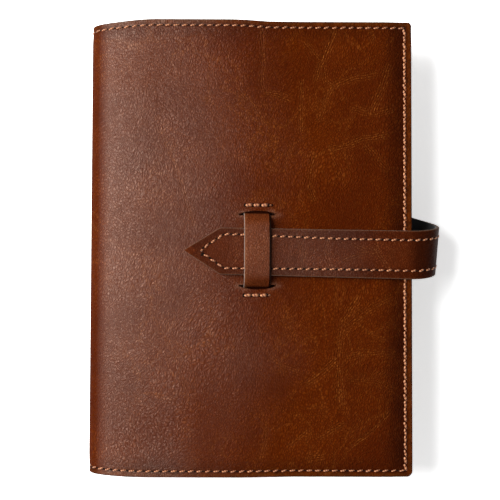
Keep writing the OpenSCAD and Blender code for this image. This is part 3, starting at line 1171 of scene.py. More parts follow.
class StitchTree:
    """Geometry nodes that lay thread bits, or needle holes, along sewing lines."""

    MEASURES = ("Pitch", "Bit Length", "Bit Width", "Arch", "Slant", "Uneven", "Aside")
    SMALLEST, LARGEST = (0.93, 0.88, 0.88), (1.05, 1.1, 1.1)
    INPUTS = {**dict.fromkeys(MEASURES, "Float"), "Seed": "Int", "Finish": "Material"}

    def __init__(self, shape: RowShape) -> None:
        """Builds the tree for one shape.

        Args:
            shape: a bit of thread or a needle hole.
        """
        self.shape = shape
        self.tree = bpy.data.node_groups.new(f"sewing_{shape.value}", "GeometryNodeTree")
        add_socket(self.tree, "Lines", "Geometry")
        for label, kind in self.INPUTS.items():
            add_socket(self.tree, label, kind)
        add_socket(self.tree, "Sewing", "Geometry", "OUTPUT")
        self.graph = g = Graph(self.tree)
        self.given, out = g.add("NodeGroupInput").outputs, g.add("NodeGroupOutput")
        points = self._points()
        shape_out = self._bit() if shape is RowShape.BIT else self._hole()
        laid = g.feed(
            g.add("GeometryNodeInstanceOnPoints"), Points=points.outputs["Points"], Instance=shape_out,
            Rotation=self._rotation(points), Scale=self._scale(),
        )
        whole = g.feed(g.add("GeometryNodeRealizeInstances"), _0=laid.outputs[0])
        done = g.add("GeometryNodeSetMaterial")
        g.feed(done, Geometry=whole.outputs[0], Material=self.given["Finish"])
        g.feed(out, _0=done.outputs[0])

    def _points(self) -> Node:
        """Points half a pitch in from each end for bits, and from end to end for holes.

        Returns:
            The node with the points.
        """
        g, given = self.graph, self.given
        curve = g.feed(g.add("GeometryNodeMeshToCurve"), Mesh=given["Lines"]).outputs[0]
        if self.shape is RowShape.BIT:
            half = g.math("DIVIDE", given["Pitch"], 2.0)
            end = g.minus(g.add("GeometryNodeSplineLength").outputs["Length"], half)
            trim = g.add("GeometryNodeTrimCurve", mode="LENGTH")
            curve = g.feed(trim, _0=curve, _4=half, _5=end).outputs[0]
        return g.feed(g.add("GeometryNodeCurveToPoints", mode="LENGTH"), Curve=curve, Length=given["Pitch"])

    def _rotation(self, points: Node) -> Socket:
        """X along the row, Z out of the leather, then a slant that differs a little by stitch.

        Args:
            points: the node with the points.

        Returns:
            The rotation of each one.
        """
        g, given = self.graph, self.given
        out_of = g.add("GeometryNodeInputNamedAttribute", data_type="FLOAT_VECTOR")
        g.feed(out_of, Name="out_of_leather")
        along = g.add("FunctionNodeAlignRotationToVector", axis="X")
        g.feed(along, Vector=points.outputs["Tangent"])
        upright = g.add("FunctionNodeAlignRotationToVector", axis="Z", pivot_axis="X")
        g.feed(upright, Rotation=along.outputs[0], Vector=out_of.outputs[0])
        chance = g.add("FunctionNodeRandomValue", data_type="FLOAT")
        g.feed(chance, _2=g.times(given["Uneven"], -1.0), _3=given["Uneven"], Seed=given["Seed"])
        angle = g.math("RADIANS", g.plus(given["Slant"], chance.outputs[1]))
        turn = g.feed(g.add("FunctionNodeAxisAngleToRotation"), Axis=(0.0, 0.0, 1.0), Angle=angle)
        slanted = g.add("FunctionNodeRotateRotation", rotation_space="LOCAL")
        return g.feed(slanted, Rotation=upright.outputs[0], _1=turn.outputs[0]).outputs[0]

    def _scale(self) -> Socket:
        """Small differences in size between stitches.

        Returns:
            The scale of each one.
        """
        chance = self.graph.add("FunctionNodeRandomValue", data_type="FLOAT_VECTOR")
        values = {"_0": self.SMALLEST, "_1": self.LARGEST, "Seed": self.given["Seed"]}
        return self.graph.feed(chance, **values).outputs[0]

    def _bit(self) -> Socket:
        """A short arched tube that tapers into its two holes and carries the phase of its plies.

        Returns:
            The tube.
        """
        g, given = self.graph, self.given
        half = g.math("DIVIDE", given["Bit Length"], 2.0)
        start, middle, end = (g.add("ShaderNodeCombineXYZ") for _ in range(3))
        sunk = g.times(given["Arch"], -0.7)
        g.feed(start, _0=g.times(half, -1.0), _2=sunk)
        g.feed(middle, _2=g.times(given["Arch"], 1.6))
        g.feed(end, _0=half, _2=sunk)
        path = g.feed(
            g.add("GeometryNodeCurveQuadraticBezier"), Resolution=7, Start=start.outputs[0],
            Middle=middle.outputs[0], End=end.outputs[0],
        )
        factor = g.add("GeometryNodeSplineParameter").outputs["Factor"]
        belly = g.times(g.times(factor, g.minus(1.0, factor)), 4.0)
        taper = g.math("POWER", g.math("MAXIMUM", belly, 0.12), 0.35)
        profile = g.feed(g.add("GeometryNodeCurvePrimitiveCircle"), Resolution=7, Radius=0.5)
        tube = g.add("GeometryNodeCurveToMesh")
        g.feed(
            tube, Curve=path.outputs[0], Profile_Curve=profile.outputs[0],
            Scale=g.times(taper, given["Bit Width"]), Fill_Caps=True,
        )
        soft = g.feed(g.add("GeometryNodeSetShadeSmooth"), _0=tube.outputs[0], Shade_Smooth=True)
        place = g.feed(g.add("ShaderNodeSeparateXYZ"), _0=g.add("GeometryNodeInputPosition").outputs[0])
        around = g.math("DIVIDE", g.math("ARCTAN2", place.outputs[1], place.outputs[2]), 2 * math.pi)
        along = g.times(g.math("DIVIDE", place.outputs[0], given["Bit Width"]), 0.8)
        phase = g.add("GeometryNodeStoreNamedAttribute", data_type="FLOAT", domain="POINT")
        g.feed(phase, Geometry=soft.outputs[0], Name="ply", Value=g.plus(along, around))
        return phase.outputs[0]

    def _hole(self) -> Socket:
        """A flat lens where the needle went through, which its near-black finish makes into painted shade.

        Returns:
            The lens.
        """
        g, given = self.graph, self.given
        ball = g.feed(g.add("GeometryNodeMeshUVSphere"), Segments=10, Rings=5, Radius=0.5)
        size, aside = g.add("ShaderNodeCombineXYZ"), g.add("ShaderNodeCombineXYZ")
        g.feed(size, _0=given["Bit Length"], _1=given["Bit Width"], _2=given["Arch"])
        g.feed(aside, _1=given["Aside"])
        flat = g.add("GeometryNodeTransform")
        g.feed(flat, Geometry=ball.outputs[0], Translation=aside.outputs[0], Scale=size.outputs[0])
        return g.feed(g.add("GeometryNodeSetShadeSmooth"), _0=flat.outputs[0], Shade_Smooth=True).outputs[0]

    def sew(self, name: str, lines: Sequence[SewingLine], size: StitchSizes, finish: Material) -> Piece:
        """Lays the tree's shape along lines and keeps the result as a plain mesh.

        Args:
            name: name of the piece.
            lines: the sewing lines, in millimetres.
            size: sizes of one stitch.
            finish: material of the result.

        Returns:
            The piece, without modifiers.
        """
        counts = np.cumsum([0] + [len(line.points) for line in lines])
        edges = [(i, i + 1) for a, b in zip(counts[:-1], counts[1:]) for i in range(a, b - 1)]
        mesh = bpy.data.meshes.new(name)
        mesh.from_pydata((np.concatenate([line.points for line in lines]) * MM).tolist(), edges, [])
        normals = np.concatenate([line.normals for line in lines]).astype(np.float32)
        outwards = mesh.attributes.new("out_of_leather", "FLOAT_VECTOR", "POINT")
        outwards.data.foreach_set("vector", normals.ravel())
        piece = in_scene(name, mesh)
        modifier = piece.modifiers.new("sewing", "NODES")
        modifier.node_group = self.tree
        values = {
            "Pitch": size.pitch * MM, "Bit Length": size.length * MM, "Bit Width": size.width * MM,
            "Arch": size.arch * MM, "Slant": size.slant, "Uneven": size.uneven, "Aside": size.aside * MM,
            "Seed": size.seed, "Finish": finish,
        }
        for socket in self.tree.interface.items_tree:
            if socket.in_out == "INPUT" and socket.name in values:
                modifier[socket.identifier] = values[socket.name]
        evaluated = piece.evaluated_get(bpy.context.evaluated_depsgraph_get())
        plain = bpy.data.meshes.new_from_object(evaluated)
        piece.modifiers.clear()
        piece.data = plain
        plain.name = name
        bpy.data.meshes.remove(mesh)
        return piece


@dataclass
class Sewing:
    """The two stitch trees, and rows that put thread and holes together."""

    wardrobe: Wardrobe
    bits: StitchTree = field(default_factory=lambda: StitchTree(RowShape.BIT))
    holes: StitchTree = field(default_factory=lambda: StitchTree(RowShape.HOLE))

    def row(
        self, name: str, lines: Sequence[SewingLine], size: StitchSizes, hole: StitchSizes,
        settle: Settle, *nodes: str,
    ) -> None:
        """Sews one row: its thread, which stands for CAD nodes, and its needle holes.

        Args:
            name: name of the row.
            lines: the sewing lines.
            size: sizes of the stitches.
            hole: sizes of the holes, with the same pitch.
            settle: puts a piece on its body.
            *nodes: CAD nodes that the thread stands for.
        """
        thread = self.bits.sew(f"{name}_thread", lines, size, self.wardrobe.thread)
        dress(thread, self.wardrobe.thread, "thread", *nodes)
        settle(thread)
        dark = self.holes.sew(f"{name}_holes", lines, hole, self.wardrobe.hole)
        dress(dark, self.wardrobe.hole, "cover_leather")
        settle(dark)


# ---- cover


Surface = Callable[[Stations, np.ndarray], np.ndarray]


@dataclass(frozen=True)
class CoverRelief:
    """How the outer leather departs from its plain section, in millimetres."""

    edge_round: float = 0.62
    row_hollow: float = 0.26
    row_hollow_w: float = 0.5
    margin_dip: float = 0.07
    back_row_sunk: float = 0.36
    fore_hollow: float = 0.45
    end_hollow: float = 0.18
    swell: float = 0.16
    crease_depth: float = 0.10
    lip: float = 0.8
    lip_w: float = 1.3
    slit_depth: float = 1.5
    slit_left: float = 2.1
    slit_bow: float = 0.9
    tab_recess: float = 0.82
    head_bow: float = 1.05
    head_spread: float = 0.5
    fore_spread: float = 0.45
    corner_top: float = 2.0
    corner_bottom: float = 3.0


@dataclass(frozen=True)
class CoverPatinaAndShade:
    """Where the outer leather is burnished, where it is painted with shade, where it leans to the light and
    where it has lost its shine, mostly 0 to 1.
    """

    # painted shadow in the groove of each row of sewing
    row_dark: float = 0.55
    # darker towards the fore-edge: partly burnish, partly painted shade where the face bends down
    fore_dark: float = 0.66
    # darker towards the two ends
    end_dark: float = 0.25
    margin_dark: float = 0.36
    margin_uneven: float = 0.3
    # painted shade on the spine's turn
    spine_dark: Table = ((0, 0.2), (5, 0.17), (9, 0.0))
    lean: Table = (
        (0, 0.0), (20, 0.0), (40, 0.05), (62, 0.03), (76, -0.03),
        (84, 0.0), (104, -0.03), (112, -0.06), (160, -0.05),
    )
    dull_across: Table = (
        (0, 0.02), (14, 0.02), (33, 0.12), (52, 0.27), (63, 0.42), (75, 0.64), (88, 0.85), (110, 0.97),
    )
    dull_spine: Table = ((0, 1.0), (4.5, 0.97), (7, 0.6), (10.5, 0.0))
    dull_corner: float = 0.8
    dull_back: Table = ((0, 1.0), (6, 0.97), (16, 0.35))


# Creases of the front, as (half width, strength, points of s and y)
CREASES: tuple[Crease, ...] = (
    (1.3, 0.55, ((121, 106), (117, 96), (114, 89), (112, 83))),
    (1.1, 0.40, ((107, 100), (115, 91), (116, 83), (120, 79))),
    (1.2, 0.45, ((120, 79), (116, 71), (114, 64))),
    (1.4, 0.40, ((120, 79), (129, 83), (140, 85))),
    (1.4, 0.50, ((147, 88), (143, 76), (139, 67))),
    (1.6, 0.35, ((131, 68), (140, 66), (148, 68))),
    (1.4, 0.50, ((119, 48), (127, 50), (134, 53), (145, 55))),
    (1.1, 0.45, ((105, 81), (104.5, 70), (104.6, 58))),
    (1.0, 0.35, ((85, 106), (86, 90), (85, 80), (87.5, 75.5))),
    (1.2, 0.45, ((87.5, 75.5), (92, 75), (98, 73))),
    (1.1, 0.35, ((74.5, 75.5), (81.5, 69), (86, 62))),
    (1.2, 0.40, ((111, 44), (108.5, 30), (111, 24))),
    (1.3, 0.25, ((120, 45), (125, 34))),
    (1.3, 0.28, ((135, 52), (146, 39))),
    (1.4, 0.45, ((132, -25), (125, -36), (122.5, -54), (124, -76))),
    (1.6, 0.35, ((147, -25), (139, -29), (125, -40))),
    (1.5, 0.50, ((122.5, -54), (117, -59), (108, -66))),
    (1.6, 0.30, ((124, -54), (136, -51), (148, -51))),
    (1.6, 0.25, ((129, -64), (140, -65), (148, -68))),
    (0.6, 0.95, ((147, -80), (141.6, -86), (135, -92), (129, -96))),
    (0.6, 0.55, ((107.5, -89), (103, -93), (98.5, -96.5))),
    (1.2, 0.40, ((114, -92), (124.5, -86))),
    (1.2, 0.30, ((90, -53), (96, -57.5), (103, -60))),
    (1.2, 0.35, ((85.5, -101), (88, -90))),
    (1.8, 0.45, ((110, -101.5), (113.5, -101))),
    (1.0, 0.25, ((35, 60), (45, 35), (52, 12))),
    (1.0, 0.22, ((30, -30), (44, -52), (50, -75))),
)

# Creases of the strap, with places across it instead of along the spine
STRAP_CREASES: tuple[Crease, ...] = (
    (0.8, 0.75, ((141, 4.5), (142, 0), (145, -4), (147, -8))),
    (0.9, 0.45, ((131, 4), (136, 2), (141, 3))),
    (0.9, 0.40, ((126, -3), (134, 0), (140, 1))),
    (0.8, 0.35, ((103, 6), (106, 0), (105, -6))),
    (0.8, 0.30, ((118, 7), (116, 1), (119, -7))),
    (0.8, 0.35, ((72, 5), (74, -1), (71, -6))),
)


def crease_field(s: np.ndarray, y: np.ndarray, creases: Sequence[Crease] = CREASES) -> Grids:
    """How strongly the leather is creased at each point, and how far that is from the crease's line.

    Args:
        s: distances from the spine.
        y: places along the spine.
        creases: half width, strength and points of each crease.

    Returns:
        Strengths from 0 to 1, and signed distances in millimetres.
    """
    total = np.zeros(np.broadcast(s, y).shape)
    offset = np.zeros(total.shape)
    for half, strength, line in creases:
        nearest, signed = np.full(total.shape, 1e9), np.zeros(total.shape)
        for (s0, y0), (s1, y1) in zip(line[:-1], line[1:]):
            span = math.hypot(s1 - s0, y1 - y0)
            along = np.clip(((s - s0) * (s1 - s0) + (y - y0) * (y1 - y0)) / span**2, 0, 1)
            distance = np.hypot(s - s0 - along * (s1 - s0), y - y0 - along * (y1 - y0))
            side = ((s - s0) * (y1 - y0) - (y - y0) * (s1 - s0)) / span
            signed = np.where(distance < nearest, side, signed)
            nearest = np.minimum(nearest, distance)
        here = np.minimum(1.9 * strength, 1.0) * bell(nearest, 1.35 * half)
        offset = np.where(here > total, signed, offset)
        total = np.maximum(total, here)
    return total, offset


@dataclass
class Cover:
    """Outer leather, lining, sleeves and sewing of both covers, and the insert's card round the spine."""

    sizes: PlannerSizes
    wardrobe: Wardrobe
    sewing: Sewing
    relief: CoverRelief = CoverRelief()
    patina_and_shade: CoverPatinaAndShade = CoverPatinaAndShade()
    leather_step: float = 1.08
    slit_step: float = 0.17
    layer_step: float = 2.4
    sleeve_step: tuple[float, float] = (1.6, 1.8)

    # Distances from an edge at which the leather's grid has a line
    EDGE_LINES = (0.06, 0.2, 0.4, 0.64, 1.0, 1.6, 2.2, 2.6, 2.86, 3.1, 3.34, 3.6, 4.0, 4.6, 5.4)

    def __post_init__(self) -> None:
        """Prepares the section."""
        self.section = CoverSection(self.sizes)

    def _edges(self, lines: Stations, ys: np.ndarray) -> tuple[np.ndarray, np.ndarray, np.ndarray]:
        """Distance of each point from the fore-edge, from the nearer end, and the smaller of the two.

        Args:
            lines: stations, n of them.
            ys: places along Y, m of them.

        Returns:
            Three arrays, n by m.
        """
        fore = self.sizes.cover_w - lines.s[:, None] + 0 * ys[None, :]
        end = self.sizes.cover_l / 2 - np.abs(ys)[None, :] + 0 * lines.s[:, None]
        return fore, end, np.minimum(fore, end)

    def _slit(self, s: np.ndarray, y: np.ndarray) -> Grids:
        """How far inside a slit each point is, and how far up its lip.

        Args:
            s: distances from the spine.
            y: places along the spine.

        Returns:
            The slit's mask and its lips' mask, both 0 to 1.
        """
        z, r = self.sizes, self.relief
        left = z.slope_start + z.keeper_inset - r.slit_left
        right = z.slope_start + z.keeper_inset + z.keeper_w + z.slit_past
        middle, reach = (left + right) / 2, (right - left) / 2
        share = np.abs(s - middle) / reach
        open_share = 1 - np.clip(share, 0, 1) ** 2
        centre = z.slit_span / 2 - z.slit_gap / 2 - 0.25 + r.slit_bow * open_share
        off = np.abs(np.abs(y - z.keeper_y) - centre)
        opening = (z.slit_gap / 2 + 0.2) * np.sqrt(open_share) + 1e-6
        inside = smooth(off - opening, 0.08, -0.08) * (share < 1)
        lips = bell(np.maximum(off - opening, 0), r.lip_w) * smooth(share, 1.5, 0.9)
        return inside, lips * smooth(share, 0.3, 0.8)

    def outer_depth(self, side: Side, lines: Stations, ys: np.ndarray) -> np.ndarray:
        """Depth of the leather's outer face, negative where it stands proud.

        Args:
            side: which cover.
            lines: stations, n of them.
            ys: places along Y, m of them.

        Returns:
            Depths, n by m.
        """
        z, r = self.sizes, self.relief
        s, y = lines.s[:, None], ys[None, :]
        fore, end, edge = self._edges(lines, ys)
        away = smooth(lines.run[:, None], 0.0, 14.0)
        depth = rounded_edge(edge, r.edge_round)
        depth = depth + r.row_hollow * bell(edge - z.border_inset, r.row_hollow_w)
        depth = depth + r.margin_dip * smooth(edge, 0.4, 2.0) * smooth(edge, 3.6, 2.0)
        depth = depth + r.end_hollow * smooth(end, 9.0, 4.0)
        swell = ripple(lines.run[:, None], y, 70.0, 11.0, 5) * smooth(edge, 1.0, 8.0)
        depth = depth - r.swell * swell * away
        if side is Side.FRONT:
            depth = depth + r.fore_hollow * smooth(fore, 13.0, 4.4)
            depth = depth + r.crease_depth * crease_field(s, y)[0] * away
            inside, lips = self._slit(s, y)
            depth = depth - r.lip * lips * (1 - inside)
            depth = np.maximum(depth, r.slit_depth * inside)
        else:
            depth = np.maximum(depth, 0.0)
        return depth

    def _shape(self, points: np.ndarray) -> np.ndarray:
        """Lets the head's edge bow out a little and rounds the two corners at the fore-edge, in plan.

        Args:
            points: points of a layer, ending in 3.

        Returns:
            The same array, moved.
        """
        z, r = self.sizes, self.relief
        for sign, radius in ((1, r.corner_top), (-1, r.corner_bottom)):
            u = points[..., 0] - (z.spine_x + z.cover_w - radius)
            v = sign * points[..., 1] - (z.cover_l / 2 - radius)
            near = (u > 0) & (v > 0)
            longer, length = np.maximum(u, v), np.hypot(u, v)
            factor = np.where(near, longer / np.maximum(length, 1e-9), 1.0)
            points[..., 0] += np.where(near, u * (factor - 1), 0)
            points[..., 1] += np.where(near, sign * v * (factor - 1), 0)
        s = points[..., 0] - z.spine_x
        bow = r.head_bow * smooth(s, 8.0, 34.0) * smooth(s, 100.0, 68.0)
        bow = np.maximum(bow, r.head_spread * smooth(s, 60.0, 105.0)) * (points[..., 2] > z.spine_z)
        points[..., 0] += r.fore_spread * smooth(s, 120.0, z.cover_w)
        points[..., 1] += bow * smooth(points[..., 1], 60.0, z.cover_l / 2)
        return points

    def _bend_with(self, side: Side) -> Settle:
        """A function that bakes a piece of one cover into place; it is the same for both covers.

        Args:
            side: which cover.

        Returns:
            A function that bakes a piece's transform into its mesh.
        """
        if side is Side.FRONT:
            return lambda piece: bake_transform(piece)
        return lambda piece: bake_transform(piece)

    def build(self) -> None:
        """Makes every layer of both covers."""
        for side in Side:
            self._leather(side)
            self._lining(side)
            self._card(side)
            self._sleeve(side)
            self._outer_sewing(side)
            self._inner_sewing(side)

    def _leather(self, side: Side) -> None:
        """The outer leather, in one piece from the spine's outermost line to the fore-edge.

        Args:
            side: which cover.
        """
        z = self.sizes
        half, front = z.cover_l / 2, side is Side.FRONT
        fine_s = [z.cover_w - e for e in self.EDGE_LINES]
        fine_y = [sign * (half - e) for e in self.EDGE_LINES for sign in (-1, 1)]
        if front:
            slit_end = z.slit_span / 2
            offsets = np.arange(slit_end - z.slit_gap - 1.6, slit_end + 2.2, self.slit_step)
            fine_y += [z.keeper_y + sign * o for o in offsets for sign in (-1, 1)]
        step = self.leather_step if front else 1.5 * self.leather_step
        lines = self.section.stations(side, 0, z.cover_w, step, fine_s)
        ys = self.section.across(half, step, fine_y)
        depth = self.outer_depth(side, lines, ys)
        inner_depth = np.full_like(depth, z.leather_t)
        if front:
            inner_depth -= self.relief.tab_recess * self._over_tabs(lines, ys)
        outer = self._shape(self.section.place(lines, ys, depth))
        inner = self._shape(self.section.place(lines, ys, np.maximum(inner_depth, depth + 0.1)))
        piece = closed_layer(f"cover_leather_{side.value}", outer, inner)
        self._leather_masks(side, piece, lines, ys)
        nodes = (f"{side.value}_cover", "spine_cover")
        dress(piece, self.wardrobe.cover, "cover_leather", *nodes)
        self._bend_with(side)(piece)

    def _over_tabs(self, lines: Stations, ys: np.ndarray) -> np.ndarray:
        """Where the keeper's two ends lie behind the front, 0 to 1.

        Args:
            lines: stations, n of them.
            ys: places along Y, m of them.

        Returns:
            Shares, n by m.
        """
        z = self.sizes
        out, slit_end = np.abs(ys - z.keeper_y)[None, :], z.slit_span / 2
        tab = smooth(out, slit_end - 1.4, slit_end - 0.4) * (out < slit_end + z.tab_len + 0.6)
        across = np.abs(lines.s - z.slope_start - z.keeper_inset - z.keeper_w / 2)
        return tab * (across < z.keeper_w / 2 + 0.5)[:, None]

    def _leather_masks(self, side: Side, piece: Piece, lines: Stations, ys: np.ndarray) -> None:
        """Stores where the outer leather is cut, worn, burnished, painted with shade or highlight, dull and
        creased.

        Args:
            side: which cover.
            piece: its outer leather.
            lines: the stations of its grid.
            ys: the places along Y of its grid.
        """
        p = self.patina_and_shade
        s, y = lines.s[:, None], ys[None, :]
        edge = self._edges(lines, ys)[2]
        worn = 0.18 * smooth(edge, 2.6, 1.6)
        # painted shadow along the groove of each row of sewing
        burnish = p.row_dark * bell(edge - self.sizes.border_inset, 0.75)
        if side is Side.FRONT:
            inside, lips = self._slit(s, y)
            burnish = self._front_burnish_and_shade(lines, ys, burnish)
            lean = look_up(lines.run, p.lean)
            bulge = np.cumsum(np.diff(lines.run) * (lean[1:] + lean[:-1]) / 2)
            store_mask(piece, "bulge", np.concatenate([[0], bulge])[:, None] + 0 * y)
            store_mask(piece, "dull", self._front_dull(lines, ys) * (1 - lips * (1 - inside)))
            creased, offset = crease_field(s, y)
            store_mask(piece, "crease", creased)
            store_mask(piece, "crease_side", offset)
            # worn edges, and a painted highlight on the slits' raised lips
            store_mask(piece, "edge", worn + 0.25 * lips * (1 - inside))
        else:
            store_mask(piece, "dull", look_up(s, p.dull_back) + 0 * y)
            store_mask(piece, "edge", worn)
        store_mask(piece, "burnish", burnish)
        store_mask(piece, "cut", smooth(edge, 0.45, 0.1), 1.0)

    def _front_burnish_and_shade(self, lines: Stations, ys: np.ndarray, rows: np.ndarray) -> np.ndarray:
        """How dark the front is made, by burnish and by painted shade.

        Args:
            lines: stations, n of them.
            ys: places along Y, m of them.
            rows: painted shadow along the rows of sewing, n by m.

        Returns:
            Shares from 0 to 1, n by m.
        """
        p = self.patina_and_shade
        s, y = lines.s[:, None], ys[None, :]
        fore, end, edge = self._edges(lines, ys)
        uneven = 1 + 0.25 * ripple(s, y, 60.0, 14.0, 11)
        pulled = p.margin_dark + p.margin_uneven * ripple(s, y, 9.0, 2.4, 17)
        # in order: painted shadow in the rows' grooves; partly burnish, partly painted shade towards the
        # fore-edge; darker towards the ends; burnished margins; painted shade on the spine's turn; painted
        # shade inside the slits
        shades = (
            rows,
            p.fore_dark * uneven * smooth(fore, 20.0, 3.6) ** 1.3 * smooth(fore, 2.0, 3.2),
            p.end_dark * uneven * smooth(end, 12.0, 4.0) * smooth(end, 2.2, 4.2),
            np.clip(pulled, 0.0, 0.8) * smooth(edge, 3.1, 2.4),
            look_up(s, p.spine_dark),
            self._slit(s, y)[0],
        )
        return np.clip(reduce(np.maximum, shades), 0, 1)

    def _front_dull(self, lines: Stations, ys: np.ndarray) -> np.ndarray:
        """How far the front's wax has lost its shine: towards the fore-edge, and on the spine's turn.

        Args:
            lines: stations, n of them.
            ys: places along Y, m of them.

        Returns:
            Shares from 0 to 1, n by m.
        """
        p = self.patina_and_shade
        s, y = lines.s[:, None], ys[None, :]
        to_ends = np.where(y < 0.0, 15.0, 9.0) * smooth(np.abs(y), 45.0, 100.0)
        reach = s + 6.0 * ripple(s, y, 110.0, 34.0, 23) + to_ends
        dull = np.maximum(look_up(reach, p.dull_across), look_up(s, p.dull_spine))
        return np.maximum(dull, p.dull_corner * smooth(s, 30.0, 60.0) * smooth(y, 10.0, -105.0))

    def _lining(self, side: Side) -> None:
        """The cloth lining behind the leather, in one piece round the spine's bend.

        Args:
            side: which cover.
        """
        z = self.sizes
        lines = self.section.stations(side, 0, z.cover_w - 0.35, self.layer_step, [z.cover_w - z.root_len])
        ys = self.section.across(z.cover_l / 2 - 0.35, self.layer_step)
        faces = [self.section.place(lines, ys, d) for d in (z.leather_t + 0.01, z.card_d)]
        faces = [self._shape(face) for face in faces]
        piece = closed_layer(f"cover_lining_{side.value}", faces[1], faces[0])
        dress(piece, self.wardrobe.lining, "lining", f"{side.value}_lining", "spine_lining")
        self._bend_with(side)(piece)

    def _card(self, side: Side) -> None:
        """The insert's card cover, pushed into the sleeve and bent round the spine.

        Args:
            side: which cover.
        """
        z = self.sizes
        lines = self.section.stations(side, 0, z.card_end, self.layer_step, [z.card_end - 0.15])
        ys = self.section.across(z.insert_l / 2, self.layer_step)
        run = lines.run[:, None]
        sag = 0.05 * ripple(run, ys[None, :], 90.0, 40.0, 23) * smooth(run, 0, 30)
        faces = [self.section.place(lines, ys, d + sag) for d in (z.card_d + 0.07, z.card_d + z.card_t)]
        piece = closed_layer(f"insert_card_{side.value}", faces[1], faces[0])
        dress(piece, self.wardrobe.card, "card", f"insert_{side.value}_cover", "insert_spine_cover")
        self._bend_with(side)(piece)

    def _inner_depth(self, lines: Stations, ys: np.ndarray) -> np.ndarray:
        """Depth of a sleeve's face against the pages.

        Args:
            lines: stations, n of them.
            ys: places along Y, m of them.

        Returns:
            Depths, n by m.
        """
        z = self.sizes
        s, y = lines.s[:, None], ys[None, :]
        edge = self._edges(lines, ys)[2]
        rim = np.minimum(edge, s - z.sleeve_start + 0 * y)
        depth = z.inner_d - rounded_edge(rim, 0.4) - 0.2 * bell(edge - z.border_inset, 0.5)
        return depth + 0.1 * ripple(s, y, 60.0, 16.0, 31) * smooth(rim, 3.5, 9.0)

    def _sleeve(self, side: Side) -> None:
        """A sleeve for the insert's card, sewn down on three sides and open towards the spine.

        Args:
            side: which cover.
        """
        z = self.sizes
        fine_s = [z.cover_w - e for e in self.EDGE_LINES] + [z.sleeve_start + e for e in (0.1, 0.25, 0.45)]
        fine_y = [sign * (z.cover_l / 2 - e) for e in self.EDGE_LINES for sign in (-1, 1)]
        step_s, step_y = self.sleeve_step
        lines = self.section.stations(side, z.sleeve_start, z.cover_w, step_s, fine_s)
        ys = self.section.across(z.cover_l / 2, step_y, fine_y)
        edge = self._edges(lines, ys)[2]
        low = z.sleeve_d - (z.sleeve_d - z.card_d - 0.01) * smooth(edge, z.seam_w + 0.3, z.seam_w - 0.3)
        high = self._inner_depth(lines, ys)
        outer = self._shape(self.section.place(lines, ys, high))
        inner = self._shape(self.section.place(lines, ys, low))
        piece = closed_layer(f"sleeve_{side.value}", outer, inner)
        rim = np.minimum(edge, lines.s[:, None] - z.sleeve_start)
        store_mask(piece, "cut", smooth(rim, 0.25, 0.0), 1.0)
        store_mask(piece, "edge", 0.6 * smooth(rim, 1.8, 0.5))
        # painted shade along the groove of the row of sewing
        store_mask(piece, "burnish", 0.4 * bell(edge - z.border_inset, 0.7))
        dress(piece, self.wardrobe.sleeve, "sleeve_leather", f"{side.value}_sleeve")
        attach(piece, side.value)

    def _row_lines(
        self, side: Side, depth_of: Surface, sunk: float, start: float, out: float
    ) -> list[SewingLine]:
        """The border's rows: one along each end and one along the fore-edge.

        Args:
            side: which cover.
            depth_of: depth of the surface that the row lies on.
            sunk: how much deeper the row lies.
            start: distance from the spine at which the rows start.
            out: 1 for the outer face, -1 for the face towards the pages.

        Returns:
            The lines.
        """
        z = self.sizes
        border = z.cover_l / 2 - z.border_inset
        last = z.cover_w - z.border_inset
        rows = []
        lines = self.section.stations(side, start, last, 1.0)
        for sign in (-1, 1):
            ys = np.array([sign * border])
            points = self._shape(self.section.place(lines, ys, depth_of(lines, ys) + sunk))[:, 0]
            normals = np.stack([-lines.inward[:, 0], 0 * lines.run, -lines.inward[:, 1]], -1) * out
            rows.append(SewingLine(points, normals))
        edge = self.section.stations(side, last - 4.0, last, 2.0)
        edge = Stations(edge.base[-1:], edge.inward[-1:], edge.run[-1:])
        ys = np.linspace(border, -border, 120)
        points = self.section.place(edge, ys, depth_of(edge, ys) + sunk)[0]
        normals = np.tile([0.0, 0.0, out * (1.0 if side is Side.FRONT else -1.0)], (len(ys), 1))
        rows.append(SewingLine(points, normals))
        return rows

    def _outer_sewing(self, side: Side) -> None:
        """The tan row round three sides of the outer leather.

        Args:
            side: which cover.
        """
        sunk = 0.02 if side is Side.FRONT else self.relief.back_row_sunk
        rows = self._row_lines(side, partial(self.outer_depth, side), sunk, 0.0, 1.0)
        self.sewing.row(
            f"edge_row_{side.value}", rows[:2],
            StitchSizes(pitch=4.05, length=3.1, width=0.86, arch=0.34, slant=14.0, uneven=7.0),
            StitchSizes(pitch=4.05, length=1.6, width=1.3, arch=0.26, slant=-20.0, aside=-0.15, seed=8),
            self._bend_with(side), f"{side.value}_edge_thread", "spine_edge_thread",
        )
        self.sewing.row(
            f"fore_row_{side.value}", rows[2:],
            StitchSizes(pitch=3.35, length=3.9, width=1.3, arch=0.45, slant=14.0, uneven=7.0, seed=4),
            StitchSizes(pitch=3.35, length=1.3, width=0.9, arch=0.24, slant=-20.0, aside=-0.5, seed=9),
            lambda piece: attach(piece, side.value), f"{side.value}_edge_thread",
        )

    def _inner_sewing(self, side: Side) -> None:
        """The same seam where it comes through on the sleeves.

        Args:
            side: which cover.
        """
        start = self.sizes.sleeve_start + 1.0
        rows = self._row_lines(side, self._inner_depth, -0.02, start, -1.0)
        self.sewing.row(
            f"inner_row_{side.value}", rows,
            StitchSizes(pitch=4.05, length=3.4, width=0.72, arch=0.26, slant=6.0, seed=5),
            StitchSizes(pitch=4.05, length=1.1, width=0.8, arch=0.2, slant=-15.0, seed=9),
            lambda piece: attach(piece, side.value),
        )


# ---- keeper


